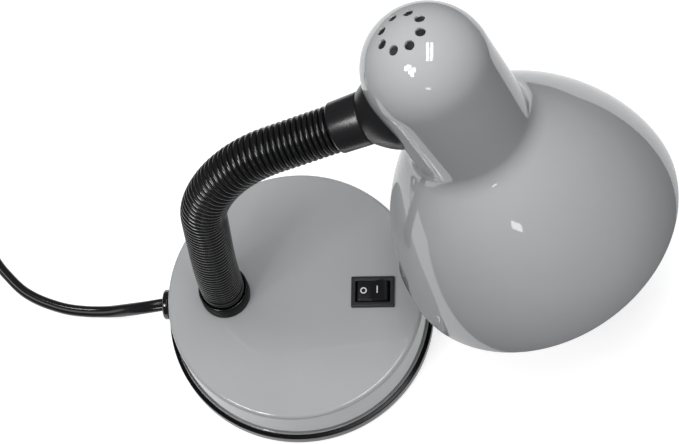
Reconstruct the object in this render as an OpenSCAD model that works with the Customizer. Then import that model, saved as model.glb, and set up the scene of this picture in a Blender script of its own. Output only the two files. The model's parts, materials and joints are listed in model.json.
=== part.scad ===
// Gooseneck desk lamp
//
// A round weighted base with a rocker switch carries a flexible neck, and the
// neck carries a bell-shaped shade on its side. Millimetres, +Z up. The origin
// is the centre of the pad that the lamp rests on, +X points from the neck to
// the switch, +Y is the back of the lamp.
//
// The neck is a wound steel core in a ribbed plastic sleeve. Both bend all the
// way along, so they are drawn as short links that meet in shallow ball seats.

/* [Base] */
// Diameter of the base shell at its lower edge
base_d = 128; // [124:1:150]
// Height of the top of the base above the table
base_h = 34; // [31:0.5:40]
// How much narrower the shell is at its shoulder than at its lower edge
base_draft = 2.4; // [1:0.1:6]
// Radius of the rounded shoulder
shoulder_r = 2.2; // [1.6:0.1:6]
// Thickness of the shell's sheet steel
shell_t = 0.9; // [0.7:0.1:1.2]
// Height of the shell's lower edge above the table
shell_z = 9; // [8:0.5:10]
// How far the base plate's flange stands out past the shell
flange_out = 2.2; // [1.5:0.1:4]
// Thickness of the base plate's floor
plate_t = 2.4; // [2.2:0.1:2.8]
// Thickness of the anti-slip pad
pad_t = 1.6; // [1:0.1:2]
// Diameter of the anti-slip pad
pad_d = 116; // [100:1:120]
// Clearance between the ballast disc and the shell's lower edge
ballast_gap = 12; // [11:0.5:14]
// Thickness of the ballast disc
ballast_t = 12; // [10:0.5:12.5]
// Radius of the circle that the plate's screws stand on
screw_ring_r = 40; // [36:1:44]
// Diameter of the plate's screws
screw_d = 4; // [3:0.5:4]

/* [Switch] */
// Distance of the switch from the centre of the base
switch_x = 38; // [34:0.5:42]
// Length of the switch's bezel
bezel_l = 21; // [20.5:0.5:24]
// Width of the switch's bezel
bezel_w = 15.5; // [14.5:0.5:18]
// Height of the bezel above the base
bezel_t = 2; // [1.5:0.1:2.5]
// Length of the switch's body
switch_l = 18.8; // [18.6:0.1:19.4]
// Width of the switch's body
switch_w = 12.8; // [12.6:0.1:13.4]
// Depth of the switch's body below the base top
switch_h = 14; // [12:0.5:15]
// Radius on which the rocker's ends swing
rocker_r = 8.1; // [7.6:0.1:8.3]
// Width of the rocker
rocker_w = 10.2; // [9.6:0.1:10.3]
// Angle of the rocker either side of level
rocker_tilt = 12; // [9:1:13]
// Height of the rocker's end edges above its pivot
rocker_edge = 5.2; // [4.6:0.1:5.4]
// How far the rocker dips at its middle
rocker_dip = 1.4; // [0.4:0.1:2]
// Depth of the rocker's pivot below the base top
pivot_drop = 1.2; // [0.8:0.1:1.6]
// Diameter of the rocker's pivot pins
pivot_d = 2.4; // [2:0.1:2.8]

/* [Neck] */
// Distance of the neck's foot from the centre of the base
neck_x = 34; // [32:0.2:38]
// Outer diameter of the ribbed sleeve
sleeve_d = 21; // [20:0.1:21.2]
// Inner diameter of the sleeve
sleeve_bore = 17.2; // [16.4:0.1:17.4]
// Distance from one rib to the next
rib_pitch = 2.58; // [2.5:0.02:2.8]
// Depth of the groove between two ribs
rib_depth = 0.7; // [0.4:0.1:0.8]
// Outer diameter of the steel core
core_d = 11; // [10:0.2:11]
// Bore of the steel core, through which the lead runs
core_bore = 6; // [5.5:0.1:6.5]
// Ribs on one short link
link_ribs = 4; // [4:1:5]
// Ribs on the straight length below the bend
lower_ribs = 15; // [10:1:20]
// Ribs on the straight length above the bend
upper_ribs = 10; // [7:1:14]
// Radius of the ball seats between the sleeve's links
sleeve_seat_r = 11.3; // [11.2:0.05:11.4]
// Running gap in the sleeve's seats
sleeve_gap = 0.3; // [0.2:0.05:0.35]
// Radius of the ball seats between the core's links
core_seat_r = 6.1; // [6:0.05:6.2]
// Running gap in the core's seats
core_gap = 0.15; // [0.1:0.01:0.2]

/* [Posture] */
// How far the lower length leans from upright
lean = 8.8; // [0:0.2:11]
// Direction of that lean, from +X towards +Y
lean_dir = 69.3; // [20:0.1:80]
// Rise of the neck above level after the bend
rise = 15.66; // [8:0.2:20]
// Direction of the neck where the bend starts
bend_dir_start = 29.3; // [28:0.2:50]
// Direction of the neck after the bend
bend_dir_end = 11.8; // [5:0.05:15]
// Rise of the neck's end above level
end_rise = 18.85; // [14:0.05:20]
// Direction of the neck's end
end_dir = 11; // [6:0.05:16]
// Turn of the shade about the neck's end
head_roll = -15.14; // [-25:0.01:10]

/* [Collars] */
// Diameter of the lower collar at its foot
collar_d = 24.2; // [24:0.1:26]
// Height of the lower collar
collar_h = 9.5; // [9:0.1:9.9]
// Height of the first seat's centre above the base
foot_h = 10.8; // [10.5:0.1:12.5]
// Diameter of the upper collar
top_collar_d = 23.4; // [22:0.1:24]
// Length of the upper collar past the last seat's centre
top_collar_l = 12.7; // [11:0.1:15]
// Thickness of the saddle on the shade's neck
saddle_t = 7.5; // [7:0.5:11]
// Diameter of the saddle's foot
saddle_d = 36.6; // [30:0.2:38]
// Thread diameter of the two hollow nipples
nipple_d = 9.8; // [9:0.1:10]

/* [Shade] */
// Diameter of the shade's neck
hood_d = 55.4; // [52:0.2:57]
// Diameter of the shade's mouth
mouth_d = 134; // [124:1:144]
// Height that the bowl's curve would have if it closed
bowl_l = 90.4; // [84:0.2:96]
// Roundness of the bowl's curve: 2 is an ellipse, and less is closer to a cone
bowl_round = 1.58; // [1.4:0.02:2]
// Distance from the dome's centre down to the mouth
shade_l = 123.1; // [116:0.1:130]
// Distance from the neck's axis up to the dome's centre
dome_h = 16; // [14:0.5:20]
// Thickness of the shade's sheet metal
shade_t = 0.9; // [0.7:0.1:1.2]
// Diameter of each vent
vent_d = 4.1; // [3:0.1:4.6]
// Radius of the circle of vents
vent_ring_r = 9; // [8:0.1:10]
// Number of vents
vents = 8; // [6:1:8]
// Turn of the ring of vents
vent_turn = 19.5; // [0:0.5:44]

/* [Lampholder] */
// Diameter of the lampholder's cap
cap_d = 35; // [34:0.5:36]
// Diameter of the lampholder's skirt
skirt_d = 39; // [38.5:0.5:41]
// Height of the cap's top above the neck's axis
cap_top = 9; // [8.5:0.5:11]
// Length of the lampholder
holder_l = 49; // [45:1:52]
// Wall of the lampholder
holder_t = 2; // [1.6:0.1:2.2]
// Bore of the screw shell for the lamp
lamp_thread_d = 26.6; // [26.2:0.1:27]
// Thickness of the screw shell
lamp_shell_t = 0.7; // [0.4:0.1:0.9]
// Thickness of the bracket that carries the lampholder
bracket_t = 1.2; // [1:0.1:1.4]
// Width of the bracket
bracket_w = 14; // [12:0.5:15]

/* [Cord] */
// Width of the flat cord
cord_w = 6.4; // [6:0.1:6.6]
// Thickness of the flat cord
cord_t = 3.6; // [3.2:0.1:3.8]
// Diameter of the gland's flange
gland_d = 14.8; // [13:0.1:16]
// Gap between the gland's flange and the plate's band below it
gland_gap = 3.2; // [1:0.1:6]
// Thickness of the gland's flange
gland_t = 3.6; // [3:0.1:4.5]
// Diameter of the two loose wires inside
wire_d = 2.2; // [1.8:0.1:2.2]

/* [Hidden] */

$fn = 96;
fit = 0.05;      // radial fit of a piece that sits on another
slide = 0.15;    // easy fit of a piece in a hole

// ---- base ----
shell_r = base_d / 2;
top_r = shell_r - base_draft / 2;
plate_z = pad_t;
floor_z = plate_z + plate_t;
ballast_z = floor_z + ballast_t;
ballast_r = shell_r - ballast_gap;
inner_top = base_h - shell_t;
lip_t = 1.5;
lip_h = 4;
lip_r = shell_r - shell_t - slide - base_draft / 2 * lip_h / (base_h - shoulder_r - shell_z);
band_r = shell_r + 0.3;
flange_r = shell_r + flange_out;
gland_z = shell_z + gland_gap + gland_d / 2;
side_r = shell_r - base_draft / 2 * (gland_z - shell_z) / (base_h - shoulder_r - shell_z);
screw_head_r = screw_d * 0.95;

// ---- switch ----
pivot_z = base_h - pivot_drop;
rocker_floor = 4.2;
window_l = 2 * rocker_r + 0.6;
window_w = rocker_w + 0.4;
blade_x = 4.5;
blade_w = 6.3;
blade_t = 0.8;
blade_l = 7;
blade_z = base_h - switch_h;

// ---- neck ----
sleeve_r = sleeve_d / 2;
sleeve_in = sleeve_bore / 2;
core_r = core_d / 2;
core_in = core_bore / 2;
ball_r = sleeve_seat_r;
socket_r = sleeve_seat_r + sleeve_gap;
core_ball_r = core_seat_r;
core_socket_r = core_seat_r + core_gap;
seam = (drop(ball_r, sleeve_r) + drop(socket_r, sleeve_r)) / 2;
link_l = link_ribs * rib_pitch;
foot_z = base_h + foot_h;
ribs = [link_ribs, link_ribs, link_ribs, link_ribs, lower_ribs,
        link_ribs, link_ribs, link_ribs, link_ribs, link_ribs,
        upper_ribs, link_ribs];
rises = concat(
  [for (i = [1:5]) 90 - lean * i / 5],
  [for (k = [1:6]) 90 - lean + (rise - 90 + lean) * k / 6],
  [(rise + end_rise) / 2, end_rise]);
dirs = concat(
  [for (i = [1:5]) lean_dir],
  [for (k = [0:5]) bend_dir_start + (bend_dir_end - bend_dir_start) * k / 5],
  [(bend_dir_end + end_dir) / 2, end_dir]);

function drop(r, x) = sqrt(r * r - x * x);
function heading(e, h) = [cos(e) * cos(h), cos(e) * sin(h), sin(e)];
function seat(i) = i == 0 ? [-neck_x, 0, foot_z]
  : seat(i - 1) + ribs[i - 1] * rib_pitch * heading(rises[i - 1], dirs[i - 1]);

// ---- head ----
// along the neck's end, from the last seat to the shade's axis
hood_r = hood_d / 2;
saddle_x = hood_r + saddle_t;
reach = top_collar_l + saddle_x;
head_at = seat(12) + reach * heading(end_rise, end_dir);
mouth_z = dome_h - shade_l;
mouth_r = mouth_d / 2;
thread_r = nipple_d / 2;
bracket_x = drop(hood_r - shade_t, bracket_w / 2) - fit;
nut_t = 2.4;
nipple_end = bracket_x - bracket_t - nut_t - 0.3;
cap_l = 19;
skirt_top = cap_top - cap_l;
skirt_end = cap_top - holder_l;
insert_top = skirt_top + 6;
insert_t = 8;
insert_bottom = insert_top - insert_t;
shell_l = 24;
contact_d = 10;
lead_hole = [-4, 11];

// ---- cord ----
gland_x = side_r + gland_t;
coil_at = [-212, 75];
coil_turn_r = 35;          // middle of the turns
coil_columns = 3;
coil_layers = 3;
tie_t = 0.7;
coil_in = coil_turn_r - coil_columns * (cord_w + 0.2) / 2;
coil_out = coil_turn_r + coil_columns * (cord_w + 0.2) / 2;
coil_z = tie_t + 0.1;
coil_top = coil_z + coil_layers * cord_t + 0.4;
// the cord's way from the gland to the coil, on the table
cord_route = [
  [-side_r + 3, 0, gland_z], [-gland_x, 0, gland_z], [-71, -0.4, 19.3], [-75, -0.7, 18.4], [-79, -0.7, 16.8],
  [-83, -0.4, 14.4], [-87.5, 0.2, 11.2], [-92, 0.8, 8], [-96, 1.3, 5.6], [-100, 1.7, 4.1],
  [-104, 2, 3.3], [-108, 2.2, 3], [-112, 2.5, 3], [-117, 3.1, 3], [-122, 4.1, 3],
  [-127, 5.6, 3], [-132.3, 7.5, 3], [-137.8, 10, 3], [-143.2, 13.2, 3], [-147.6, 16.8, 3],
  [-151.6, 20.8, 3], [-156.4, 26, 3], [-161, 32.4, 3], [-164.9, 40.4, 3], [-167.4, 49, 3],
  [-168.5, 58, 2.9], [-168.8, 64.4, 2.8], [-168.6, 70, 2.7]];
cord_tilt = -58; // how far the cord lies over on its edge between the gland and the coil

// ---- shared shapes ----
function arc(x, z, r, a0, a1, n) =
  [for (i = [0:n]) let (a = a0 + (a1 - a0) * i / n) [x + r * cos(a), z + r * sin(a)]];

// a ring of points round a route's point, square to the route
function unit(v) = v / norm(v);
function along(p, i) = unit(p[min(i + 1, len(p) - 1)] - p[max(i - 1, 0)]);
function flat(t) = let (s = cross([0, 0, 1], t)) norm(s) > 0.01 ? unit(s) : [0, 1, 0];
function carried(p, i) = i == 0 ? flat(along(p, 0))
  : let (t = along(p, i), s = carried(p, i - 1)) unit(s - (s * t) * t);
function eased(t) = let (c = min(1, max(0, t))) c * c * (3 - 2 * c);
module swept(p, w, h, n, level = false, tilt = 0) {
  rings = [for (i = [0:len(p) - 1])
    let (t = along(p, i), side = level ? flat(t) : carried(p, i),
         a = tilt * eased((i - 3) / 7) * eased((len(p) - 1 - i) / 5),
         s = side * cos(a) + cross(t, side) * sin(a), u = cross(t, s))
      for (k = [0:n - 1]) let (a = 360 * (k + 0.5) / n)
        p[i] + s * w / 2 * cos(a) + u * h / 2 * sin(a)];
  m = len(p) - 1;
  polyhedron(rings, concat(
    [[for (k = [0:n - 1]) k]],
    [for (i = [0:m - 1]) for (k = [0:n - 1])
      [i * n + k, (i + 1) * n + k, (i + 1) * n + (k + 1) % n, i * n + (k + 1) % n]],
    [[for (k = [n - 1:-1:0]) m * n + k]]), convexity = 8);
}

module at_seat(i) {
  translate(seat(i)) rotate([0, 90 - rises[i], dirs[i]]) children();
}

module in_head() {
  translate(head_at) rotate([0, -end_rise, end_dir]) rotate([head_roll, 0, 0]) children();
}

// turned about an axis that runs along the neck's end, from the shade's axis
module on_neck_end() {
  rotate([0, -90, 0]) children();
}

module tube(r, bore, z0, z1) {
  translate([0, 0, z0]) difference() {
    cylinder(r = r, h = z1 - z0);
    translate([0, 0, -1]) cylinder(r = bore, h = z1 - z0 + 2);
  }
}

// ---- neck links ----
module sleeve(n) {
  l = n * rib_pitch;
  g = rib_pitch * 0.34;
  color([0.09, 0.09, 0.1]) union() {
    rotate_extrude() polygon(concat(
      [for (k = [1:n - 1]) let (z = k * rib_pitch - seam)
        each [[sleeve_r, z - g / 2], [sleeve_r - rib_depth, z - g / 4],
              [sleeve_r - rib_depth, z + g / 4], [sleeve_r, z + g / 2]]],
      arc(0, l, socket_r, -acos(sleeve_r / socket_r), -acos(sleeve_in / socket_r), 4),
      arc(0, 0, ball_r, -acos(sleeve_in / ball_r), -acos(sleeve_r / ball_r), 4)));
    bearing(-1);
    if (n > 9) bearing(l / 2);
  }
}

// the rib inside the sleeve that bears on the core
module bearing(z) {
  tube(sleeve_in + 0.3, core_r + fit, z, z + 1.3);
}

module core(n) {
  l = n * rib_pitch;
  color([0.55, 0.56, 0.58]) rotate_extrude() polygon(concat(
    arc(0, l, core_socket_r, -acos(core_r / core_socket_r), -acos(core_in / core_socket_r), 3),
    arc(0, 0, core_ball_r, -acos(core_in / core_ball_r), -acos(core_r / core_ball_r), 3)));
}

module sleeve_low_1() { at_seat(0) sleeve(link_ribs); }
module sleeve_low_2() { at_seat(1) sleeve(link_ribs); }
module sleeve_low_3() { at_seat(2) sleeve(link_ribs); }
module sleeve_low_4() { at_seat(3) sleeve(link_ribs); }
module sleeve_lower() { at_seat(4) sleeve(lower_ribs); }
module sleeve_bend_1() { at_seat(5) sleeve(link_ribs); }
module sleeve_bend_2() { at_seat(6) sleeve(link_ribs); }
module sleeve_bend_3() { at_seat(7) sleeve(link_ribs); }
module sleeve_bend_4() { at_seat(8) sleeve(link_ribs); }
module sleeve_bend_5() { at_seat(9) sleeve(link_ribs); }
module sleeve_upper() { at_seat(10) sleeve(upper_ribs); }
module sleeve_top_1() { at_seat(11) sleeve(link_ribs); }
module core_low_1() { at_seat(0) core(link_ribs); }
module core_low_2() { at_seat(1) core(link_ribs); }
module core_low_3() { at_seat(2) core(link_ribs); }
module core_low_4() { at_seat(3) core(link_ribs); }
module core_lower() { at_seat(4) core(lower_ribs); }
module core_bend_1() { at_seat(5) core(link_ribs); }
module core_bend_2() { at_seat(6) core(link_ribs); }
module core_bend_3() { at_seat(7) core(link_ribs); }
module core_bend_4() { at_seat(8) core(link_ribs); }
module core_bend_5() { at_seat(9) core(link_ribs); }
module core_upper() { at_seat(10) core(upper_ribs); }
module core_top_1() { at_seat(11) core(link_ribs); }

// ---- base ----
module base_shell() {
  color([0.66, 0.67, 0.69]) difference() {
    rotate_extrude() polygon(concat(
      [[shell_r, shell_z]],
      arc(top_r - shoulder_r, base_h - shoulder_r, shoulder_r, 0, 90, 8),
      [[0, base_h], [0, inner_top]],
      arc(top_r - shoulder_r, base_h - shoulder_r, shoulder_r - shell_t, 90, 0, 8),
      [[shell_r - shell_t, shell_z]]));
    translate([-neck_x, 0, inner_top - 1]) cylinder(r = thread_r + slide, h = shell_t + 2);
    translate([switch_x - switch_l / 2 - slide, -switch_w / 2 - slide, inner_top - 1])
      cube([switch_l + 2 * slide, switch_w + 2 * slide, shell_t + 2]);
    translate([-shell_r - 1, 0, gland_z]) rotate([0, 90, 0])
      cylinder(r = gland_d / 2 - 2 + slide, h = 8);
  }
}

module base_plate() {
  color([0.07, 0.07, 0.08]) difference() {
    rotate_extrude() polygon([
      [0, plate_z], [flange_r - 0.8, plate_z], [flange_r, plate_z + 0.8],
      [flange_r, shell_z - 1], [flange_r - 0.6, shell_z - 0.4], [band_r, shell_z - 0.4],
      [band_r, shell_z], [lip_r, shell_z], [lip_r, shell_z + lip_h],
      [lip_r - lip_t, shell_z + lip_h], [lip_r - lip_t, floor_z], [0, floor_z]]);
    translate([-shell_r, -gland_d / 2 - 0.5, shell_z])
      cube([shell_r - lip_r + lip_t + 3, gland_d + 1, lip_h + 8]);
    plate_holes(screw_d / 2 + slide);
    for (a = [60, 180, 300]) rotate(a) translate([screw_ring_r, 0, plate_z - 0.01])
      cylinder(r1 = screw_head_r + 0.2, r2 = screw_d / 2 + slide, h = plate_t - 0.2);
  }
}

module plate_holes(r) {
  for (a = [60, 180, 300]) rotate(a) translate([screw_ring_r, 0, 0])
    cylinder(r = r, h = ballast_z - 2);
}

module base_pad() {
  color([0.16, 0.16, 0.17]) cylinder(d = pad_d, h = pad_t);
}

module ballast_disc() {
  color([0.3, 0.3, 0.31]) difference() {
    translate([0, 0, floor_z]) cylinder(r = ballast_r, h = ballast_t);
    translate([switch_x - switch_l / 2 - 5, -switch_w / 2 - 7, floor_z - 1])
      cube([ballast_r, switch_w + 14, ballast_t + 2]);
    plate_holes(screw_d / 2 + fit);
  }
}

module plate_screws() {
  color([0.75, 0.75, 0.77]) for (a = [60, 180, 300])
    rotate(a) translate([screw_ring_r, 0, plate_z]) {
      cylinder(r1 = screw_head_r, r2 = screw_d / 2, h = plate_t - 0.3);
      cylinder(d = screw_d, h = ballast_z - 3 - plate_z);
    }
}

module lower_collar() {
  seat_z = foot_z;
  lip = 1.2;
  inner = 8.8;
  rim = drop(socket_r, foot_h - collar_h);
  color([0.06, 0.06, 0.07]) translate([-neck_x, 0, 0]) rotate_extrude() polygon(concat(
    [[thread_r + slide, base_h], [collar_d / 2, base_h],
     [collar_d / 2 - 0.1, base_h + collar_h - 0.3], [collar_d / 2 - 0.25, base_h + collar_h]],
    arc(0, seat_z, socket_r, -acos(rim / socket_r), -acos(inner / socket_r), 10),
    [[inner, base_h + lip], [thread_r + slide, base_h + lip]]));
}

module foot_nipple() {
  lip = 1.2;
  flange_t = 1;
  color([0.7, 0.66, 0.5]) translate([-neck_x, 0, 0]) rotate_extrude() polygon(concat(
    [[core_in, ballast_z + 4.5], [thread_r, ballast_z + 4.5], [thread_r, base_h + lip],
     [8.4, base_h + lip], [8.4, base_h + lip + flange_t], [core_r, base_h + lip + flange_t]],
    arc(0, foot_z, core_socket_r, -acos(core_r / core_socket_r), -acos(core_in / core_socket_r), 3)));
}

module foot_washer() {
  color([0.75, 0.75, 0.77]) translate([-neck_x, 0, 0])
    tube(9, thread_r + fit, inner_top - 1, inner_top);
}

module foot_nut() {
  color([0.75, 0.75, 0.77]) translate([-neck_x, 0, inner_top - 5]) difference() {
    cylinder(r = 8.1, h = 4, $fn = 6);
    translate([0, 0, -1]) cylinder(r = thread_r + fit, h = 6);
  }
}

// ---- switch ----
module switch_body() {
  color([0.05, 0.05, 0.06]) translate([switch_x, 0, 0]) difference() {
    union() {
      translate([0, 0, base_h]) linear_extrude(bezel_t) square([bezel_l, bezel_w], center = true);
      translate([0, 0, blade_z]) linear_extrude(switch_h + 0.5)
        square([switch_l, switch_w], center = true);
    }
    translate([0, 0, pivot_z - rocker_floor - 2]) linear_extrude(20)
      square([window_l, window_w], center = true);
    translate([0, 0, pivot_z]) rotate([90, 0, 0])
      cylinder(d = pivot_d + 2 * fit, h = rocker_w + 2.4, center = true);
  }
}

module switch_rocker() {
  a = asin(rocker_edge / rocker_r);
  b = asin(rocker_floor / rocker_r);
  color([0.1, 0.1, 0.11]) translate([switch_x, 0, pivot_z]) rotate([0, -rocker_tilt, 0]) {
    rotate([90, 0, 0]) linear_extrude(rocker_w, center = true) polygon(concat(
      arc(0, 0, rocker_r, -b, a, 8),
      [[0, rocker_edge - rocker_dip]],
      arc(0, 0, rocker_r, 180 - a, 180 + b, 8)));
    rotate([90, 0, 0]) cylinder(d = pivot_d, h = rocker_w + 2, center = true);
  }
}

module switch_blades() {
  color([0.8, 0.74, 0.5]) for (s = [-1, 1])
    translate([switch_x + s * blade_x, 0, blade_z - blade_l]) difference() {
      translate([-blade_t / 2, -blade_w / 2, 0]) cube([blade_t, blade_w, blade_l]);
      translate([0, 0, 2.5]) rotate([0, 90, 0]) cylinder(r = 0.8, h = 4, center = true);
    }
}

// ---- wiring in the base ----
module cord_gland() {
  color([0.04, 0.04, 0.05]) translate([-side_r, 0, gland_z]) rotate([0, -90, 0]) difference() {
    union() {
      translate([0, 0, 0.6]) cylinder(d = gland_d - 1.4, h = gland_t - 0.6);
      translate([0, 0, 0.8]) cylinder(d = gland_d, h = gland_t - 1.5);
      translate([0, 0, -5]) cylinder(r = gland_d / 2 - 2, h = 6);
    }
    translate([0, 0, -6]) cylinder(r = cord_w / 2 + 0.3, h = 20);
  }
}

module gland_nut() {
  color([0.06, 0.06, 0.07]) translate([-side_r, 0, gland_z]) rotate([0, -90, 0])
    tube(gland_d / 2, gland_d / 2 - 2 + fit, -4, -1.7);
}

block = [17, 13, 9];
block_at = [-6, 24];
way_y = 3.2;
way_z = 4.5;
module terminal_block() {
  color([0.85, 0.84, 0.78]) translate([block_at[0], block_at[1], ballast_z]) difference() {
    translate([-block[0] / 2, -block[1] / 2, 0]) cube(block);
    for (s = [-1, 1]) translate([0, s * way_y, way_z]) {
      rotate([0, 90, 0]) cylinder(r = wire_d / 2 + 0.3, h = 30, center = true);
      for (t = [-1, 1]) translate([t * 4.5, 0, 0]) cylinder(r = 1.6, h = 10);
    }
  }
}

module terminal_screws() {
  color([0.8, 0.74, 0.5]) translate([block_at[0], block_at[1], ballast_z])
    for (s = [-1, 1]) for (t = [-1, 1]) translate([t * 4.5, s * way_y, 0]) difference() {
      translate([0, 0, way_z + wire_d / 2 + 0.05]) cylinder(r = 1.5, h = 2.8);
      translate([-2, -0.25, way_z + wire_d / 2 + 2.35]) cube([4, 0.5, 2]);
    }
}

// wire ends in the block, and over the ballast
loose_z = ballast_z + 0.3 + wire_d / 2 + 1.2;
clamp_z = ballast_z + way_z;
brown_y = block_at[1] - way_y;
blue_y = block_at[1] + way_y;
near_blade = switch_x - blade_x;
far_blade = switch_x + blade_x;
tail_z = blade_z - blade_l + 2.5;
foot_end = ballast_z + 4.5;

module supply_leads() {
  inlet = 3.4 - side_r;
  blue = [[inlet, 1.7, gland_z], [inlet + 3, 2.2, gland_z + 0.2], [inlet + 5.5, 4.5, loose_z - 1],
          [inlet + 9.5, 9, loose_z], [inlet + 17, 19, loose_z], [-33, 26, loose_z + 0.4],
          [-23, blue_y, clamp_z - 0.1], [-18, blue_y, clamp_z], [-10, blue_y, clamp_z]];
  brown = [[inlet, -1.7, gland_z], [inlet + 3, -1.3, gland_z + 0.2], [inlet + 6.5, 0.6, loose_z - 0.8],
           [inlet + 11, 5, loose_z], [inlet + 19, 13, loose_z], [-32, 19, loose_z + 0.4],
           [-23, brown_y, clamp_z - 0.1], [-18, brown_y, clamp_z], [-10, brown_y, clamp_z]];
  color([0.3, 0.45, 0.8]) swept(blue, wire_d, wire_d, 8);
  color([0.5, 0.3, 0.2]) swept(brown, wire_d, wire_d, 8);
}

module switch_lead() {
  color([0.5, 0.3, 0.2]) swept([[-2, brown_y, clamp_z], [4, brown_y, clamp_z + 0.2],
    [9, brown_y, clamp_z + 1.6], [15, 18, clamp_z + 1.2], [25, 13.5, clamp_z - 0.6], [31, 11, clamp_z - 2.2],
    [near_blade, 9.6, clamp_z - 4.6], [near_blade, 8.4, tail_z + 2.4],
    [near_blade, 6.2, tail_z + 0.4], [near_blade, blade_w / 2 + 0.1, tail_z]], wire_d, wire_d, 8);
}

module neck_leads() {
  up = [foot_end + 1.2, foot_end + 4, foot_end + 9];
  blue = [[-2, blue_y, clamp_z], [3.4, blue_y, clamp_z], [7, 25.6, clamp_z - 0.6], [9, 21.5, loose_z],
    [7.5, 16, loose_z], [0, 11.5, loose_z], [-15, 7.4, loose_z], [-27, 3.9, loose_z],
    [-33.4, 2, loose_z + 0.2]];
  brown = [[far_blade, -blade_w / 2 - 0.1, tail_z], [far_blade, -6.2, tail_z + 0.4],
    [far_blade, -8.6, tail_z + 2.6], [far_blade - 0.4, -10.4, loose_z - 1], [36, -13.6, loose_z],
    [10, -16, loose_z], [-14, -10.4, loose_z], [-27, -4.2, loose_z], [-33.4, -2, loose_z + 0.2]];
  color([0.3, 0.45, 0.8]) swept(concat(blue, [for (z = up) [-neck_x, 1.35, z]]), wire_d, wire_d, 8);
  color([0.5, 0.3, 0.2]) swept(concat(brown, [for (z = up) [-neck_x, -1.35, z]]), wire_d, wire_d, 8);
}

// ---- neck's end and shade ----
module upper_collar() {
  r = top_collar_d / 2;
  color([0.06, 0.06, 0.07]) at_seat(12) rotate_extrude() polygon(concat(
    [[sleeve_r, -1.3], [r - 0.8, -1.3], [r - 0.4, -0.8], [r, top_collar_l - 0.5], [r - 0.5, top_collar_l],
     [core_r + fit, top_collar_l], [core_r + fit, 2], [sleeve_in, 2]],
    arc(0, 0, ball_r, -acos(sleeve_in / ball_r), -acos(sleeve_r / ball_r), 4)));
}

module shade_saddle() {
  r0 = top_collar_d / 2 - 0.2;
  r1 = saddle_d / 2;
  end = saddle_x - 0.03;
  edge = drop(hood_r, r1);
  color([0.06, 0.06, 0.07]) in_head() difference() {
    on_neck_end() rotate_extrude() polygon(concat(
      [[core_r + fit, edge - 3], [r1 - 1.5, edge - 3], [r1, edge - 0.4]],
      [for (i = [0:8]) let (t = i / 8)
        [r1 + (r0 - r1) * pow(t, 1.6), edge + 0.9 + (end - edge - 0.9) * t]],
      [[core_r + fit, end]]));
    translate([0, 0, -60]) cylinder(r = hood_r + fit, h = 120);
  }
}

module head_nipple() {
  shoulder = hood_r + 3;
  ball = arc(0, 0, core_ball_r, -acos(core_r / core_ball_r), -acos(core_in / core_ball_r), 3);
  color([0.7, 0.66, 0.5]) in_head() on_neck_end() rotate_extrude() polygon(concat(
    [for (q = ball) [q[0], reach - q[1]]],
    [[core_in, nipple_end], [thread_r, nipple_end], [thread_r, shoulder], [core_r, shoulder]]));
}

module head_nut() {
  color([0.75, 0.75, 0.77]) in_head() on_neck_end()
    translate([0, 0, bracket_x - bracket_t - nut_t]) difference() {
      cylinder(r = 8.1, h = nut_t, $fn = 6);
      translate([0, 0, -1]) cylinder(r = thread_r + fit, h = nut_t + 2);
    }
}

bowl_n = 20;
// the bowl is widest at the mouth, and narrows on one curve up to the shade's neck
function bowl(rm, l, r0) = let (a0 = asin(pow(r0 / rm, bowl_round / 2)))
  [for (i = [0:bowl_n]) let (a = a0 + (90 - a0) * i / bowl_n)
    [rm * pow(sin(a), 2 / bowl_round), mouth_z + l * pow(max(cos(a), 0), 2 / bowl_round)]];

module shade() {
  hr = hood_r - shade_t;
  color([0.7, 0.71, 0.73]) in_head() difference() {
    rotate_extrude() polygon(concat(
      arc(0, dome_h, hood_r, 90, 0, 12),
      bowl(mouth_r, bowl_l, hood_r),
      [for (q = [bowl_n:-1:0]) bowl(mouth_r - shade_t, bowl_l - shade_t, hr)[q]],
      arc(0, dome_h, hr, 0, 90, 12)));
    for (k = [0:vents - 1]) rotate(vent_turn + 360 * k / vents)
      translate([vent_ring_r, 0, dome_h]) cylinder(d = vent_d, h = hood_r + 5);
    on_neck_end() translate([0, 0, hood_r - 6]) cylinder(r = thread_r + slide, h = 12);
  }
}

// ---- lampholder ----
module holder_bracket() {
  x1 = bracket_x;
  color([0.72, 0.72, 0.74]) in_head() difference() {
    union() {
      translate([-x1, -bracket_w / 2, -9]) cube([bracket_t, bracket_w, cap_top + bracket_t + 9]);
      translate([-x1, -bracket_w / 2, cap_top]) cube([x1 + 8, bracket_w, bracket_t]);
    }
    on_neck_end() translate([0, 0, x1 - 4]) cylinder(r = thread_r + slide, h = 8);
    translate([0, 0, cap_top - 4]) cylinder(r = 2 + slide, h = 8);
  }
}

module holder_cap() {
  color([0.1, 0.1, 0.11]) in_head() difference() {
    union() {
      translate([0, 0, skirt_top]) cylinder(d = cap_d, h = cap_l);
      translate([0, 0, skirt_top - 5]) cylinder(d = cap_d - 0.4, h = 6);
    }
    translate([0, 0, skirt_top - 6]) cylinder(d = cap_d - 2 * holder_t, h = cap_l + 6 - holder_t);
    translate([0, 0, cap_top - 8]) cylinder(r = 2 + fit, h = 10);
    translate([lead_hole[0], lead_hole[1], cap_top - 8]) cylinder(r = wire_d / 2 + 0.4, h = 10);
  }
}

module holder_skirt() {
  color([0.1, 0.1, 0.11]) in_head() difference() {
    union() {
      translate([0, 0, skirt_end]) cylinder(d = skirt_d, h = skirt_top - skirt_end);
      translate([0, 0, skirt_end + 6]) cylinder(d = skirt_d + 3, h = 3);
    }
    translate([0, 0, skirt_top - 5.2]) cylinder(d = cap_d - 0.2, h = 10);
    translate([0, 0, insert_bottom - 1 - shell_l])
      cylinder(r = lamp_thread_d / 2 + lamp_shell_t + fit, h = holder_l);
    translate([0, 0, skirt_end - 1]) cylinder(r = lamp_thread_d / 2 + 2, h = skirt_top - skirt_end - 16);
  }
}

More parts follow.
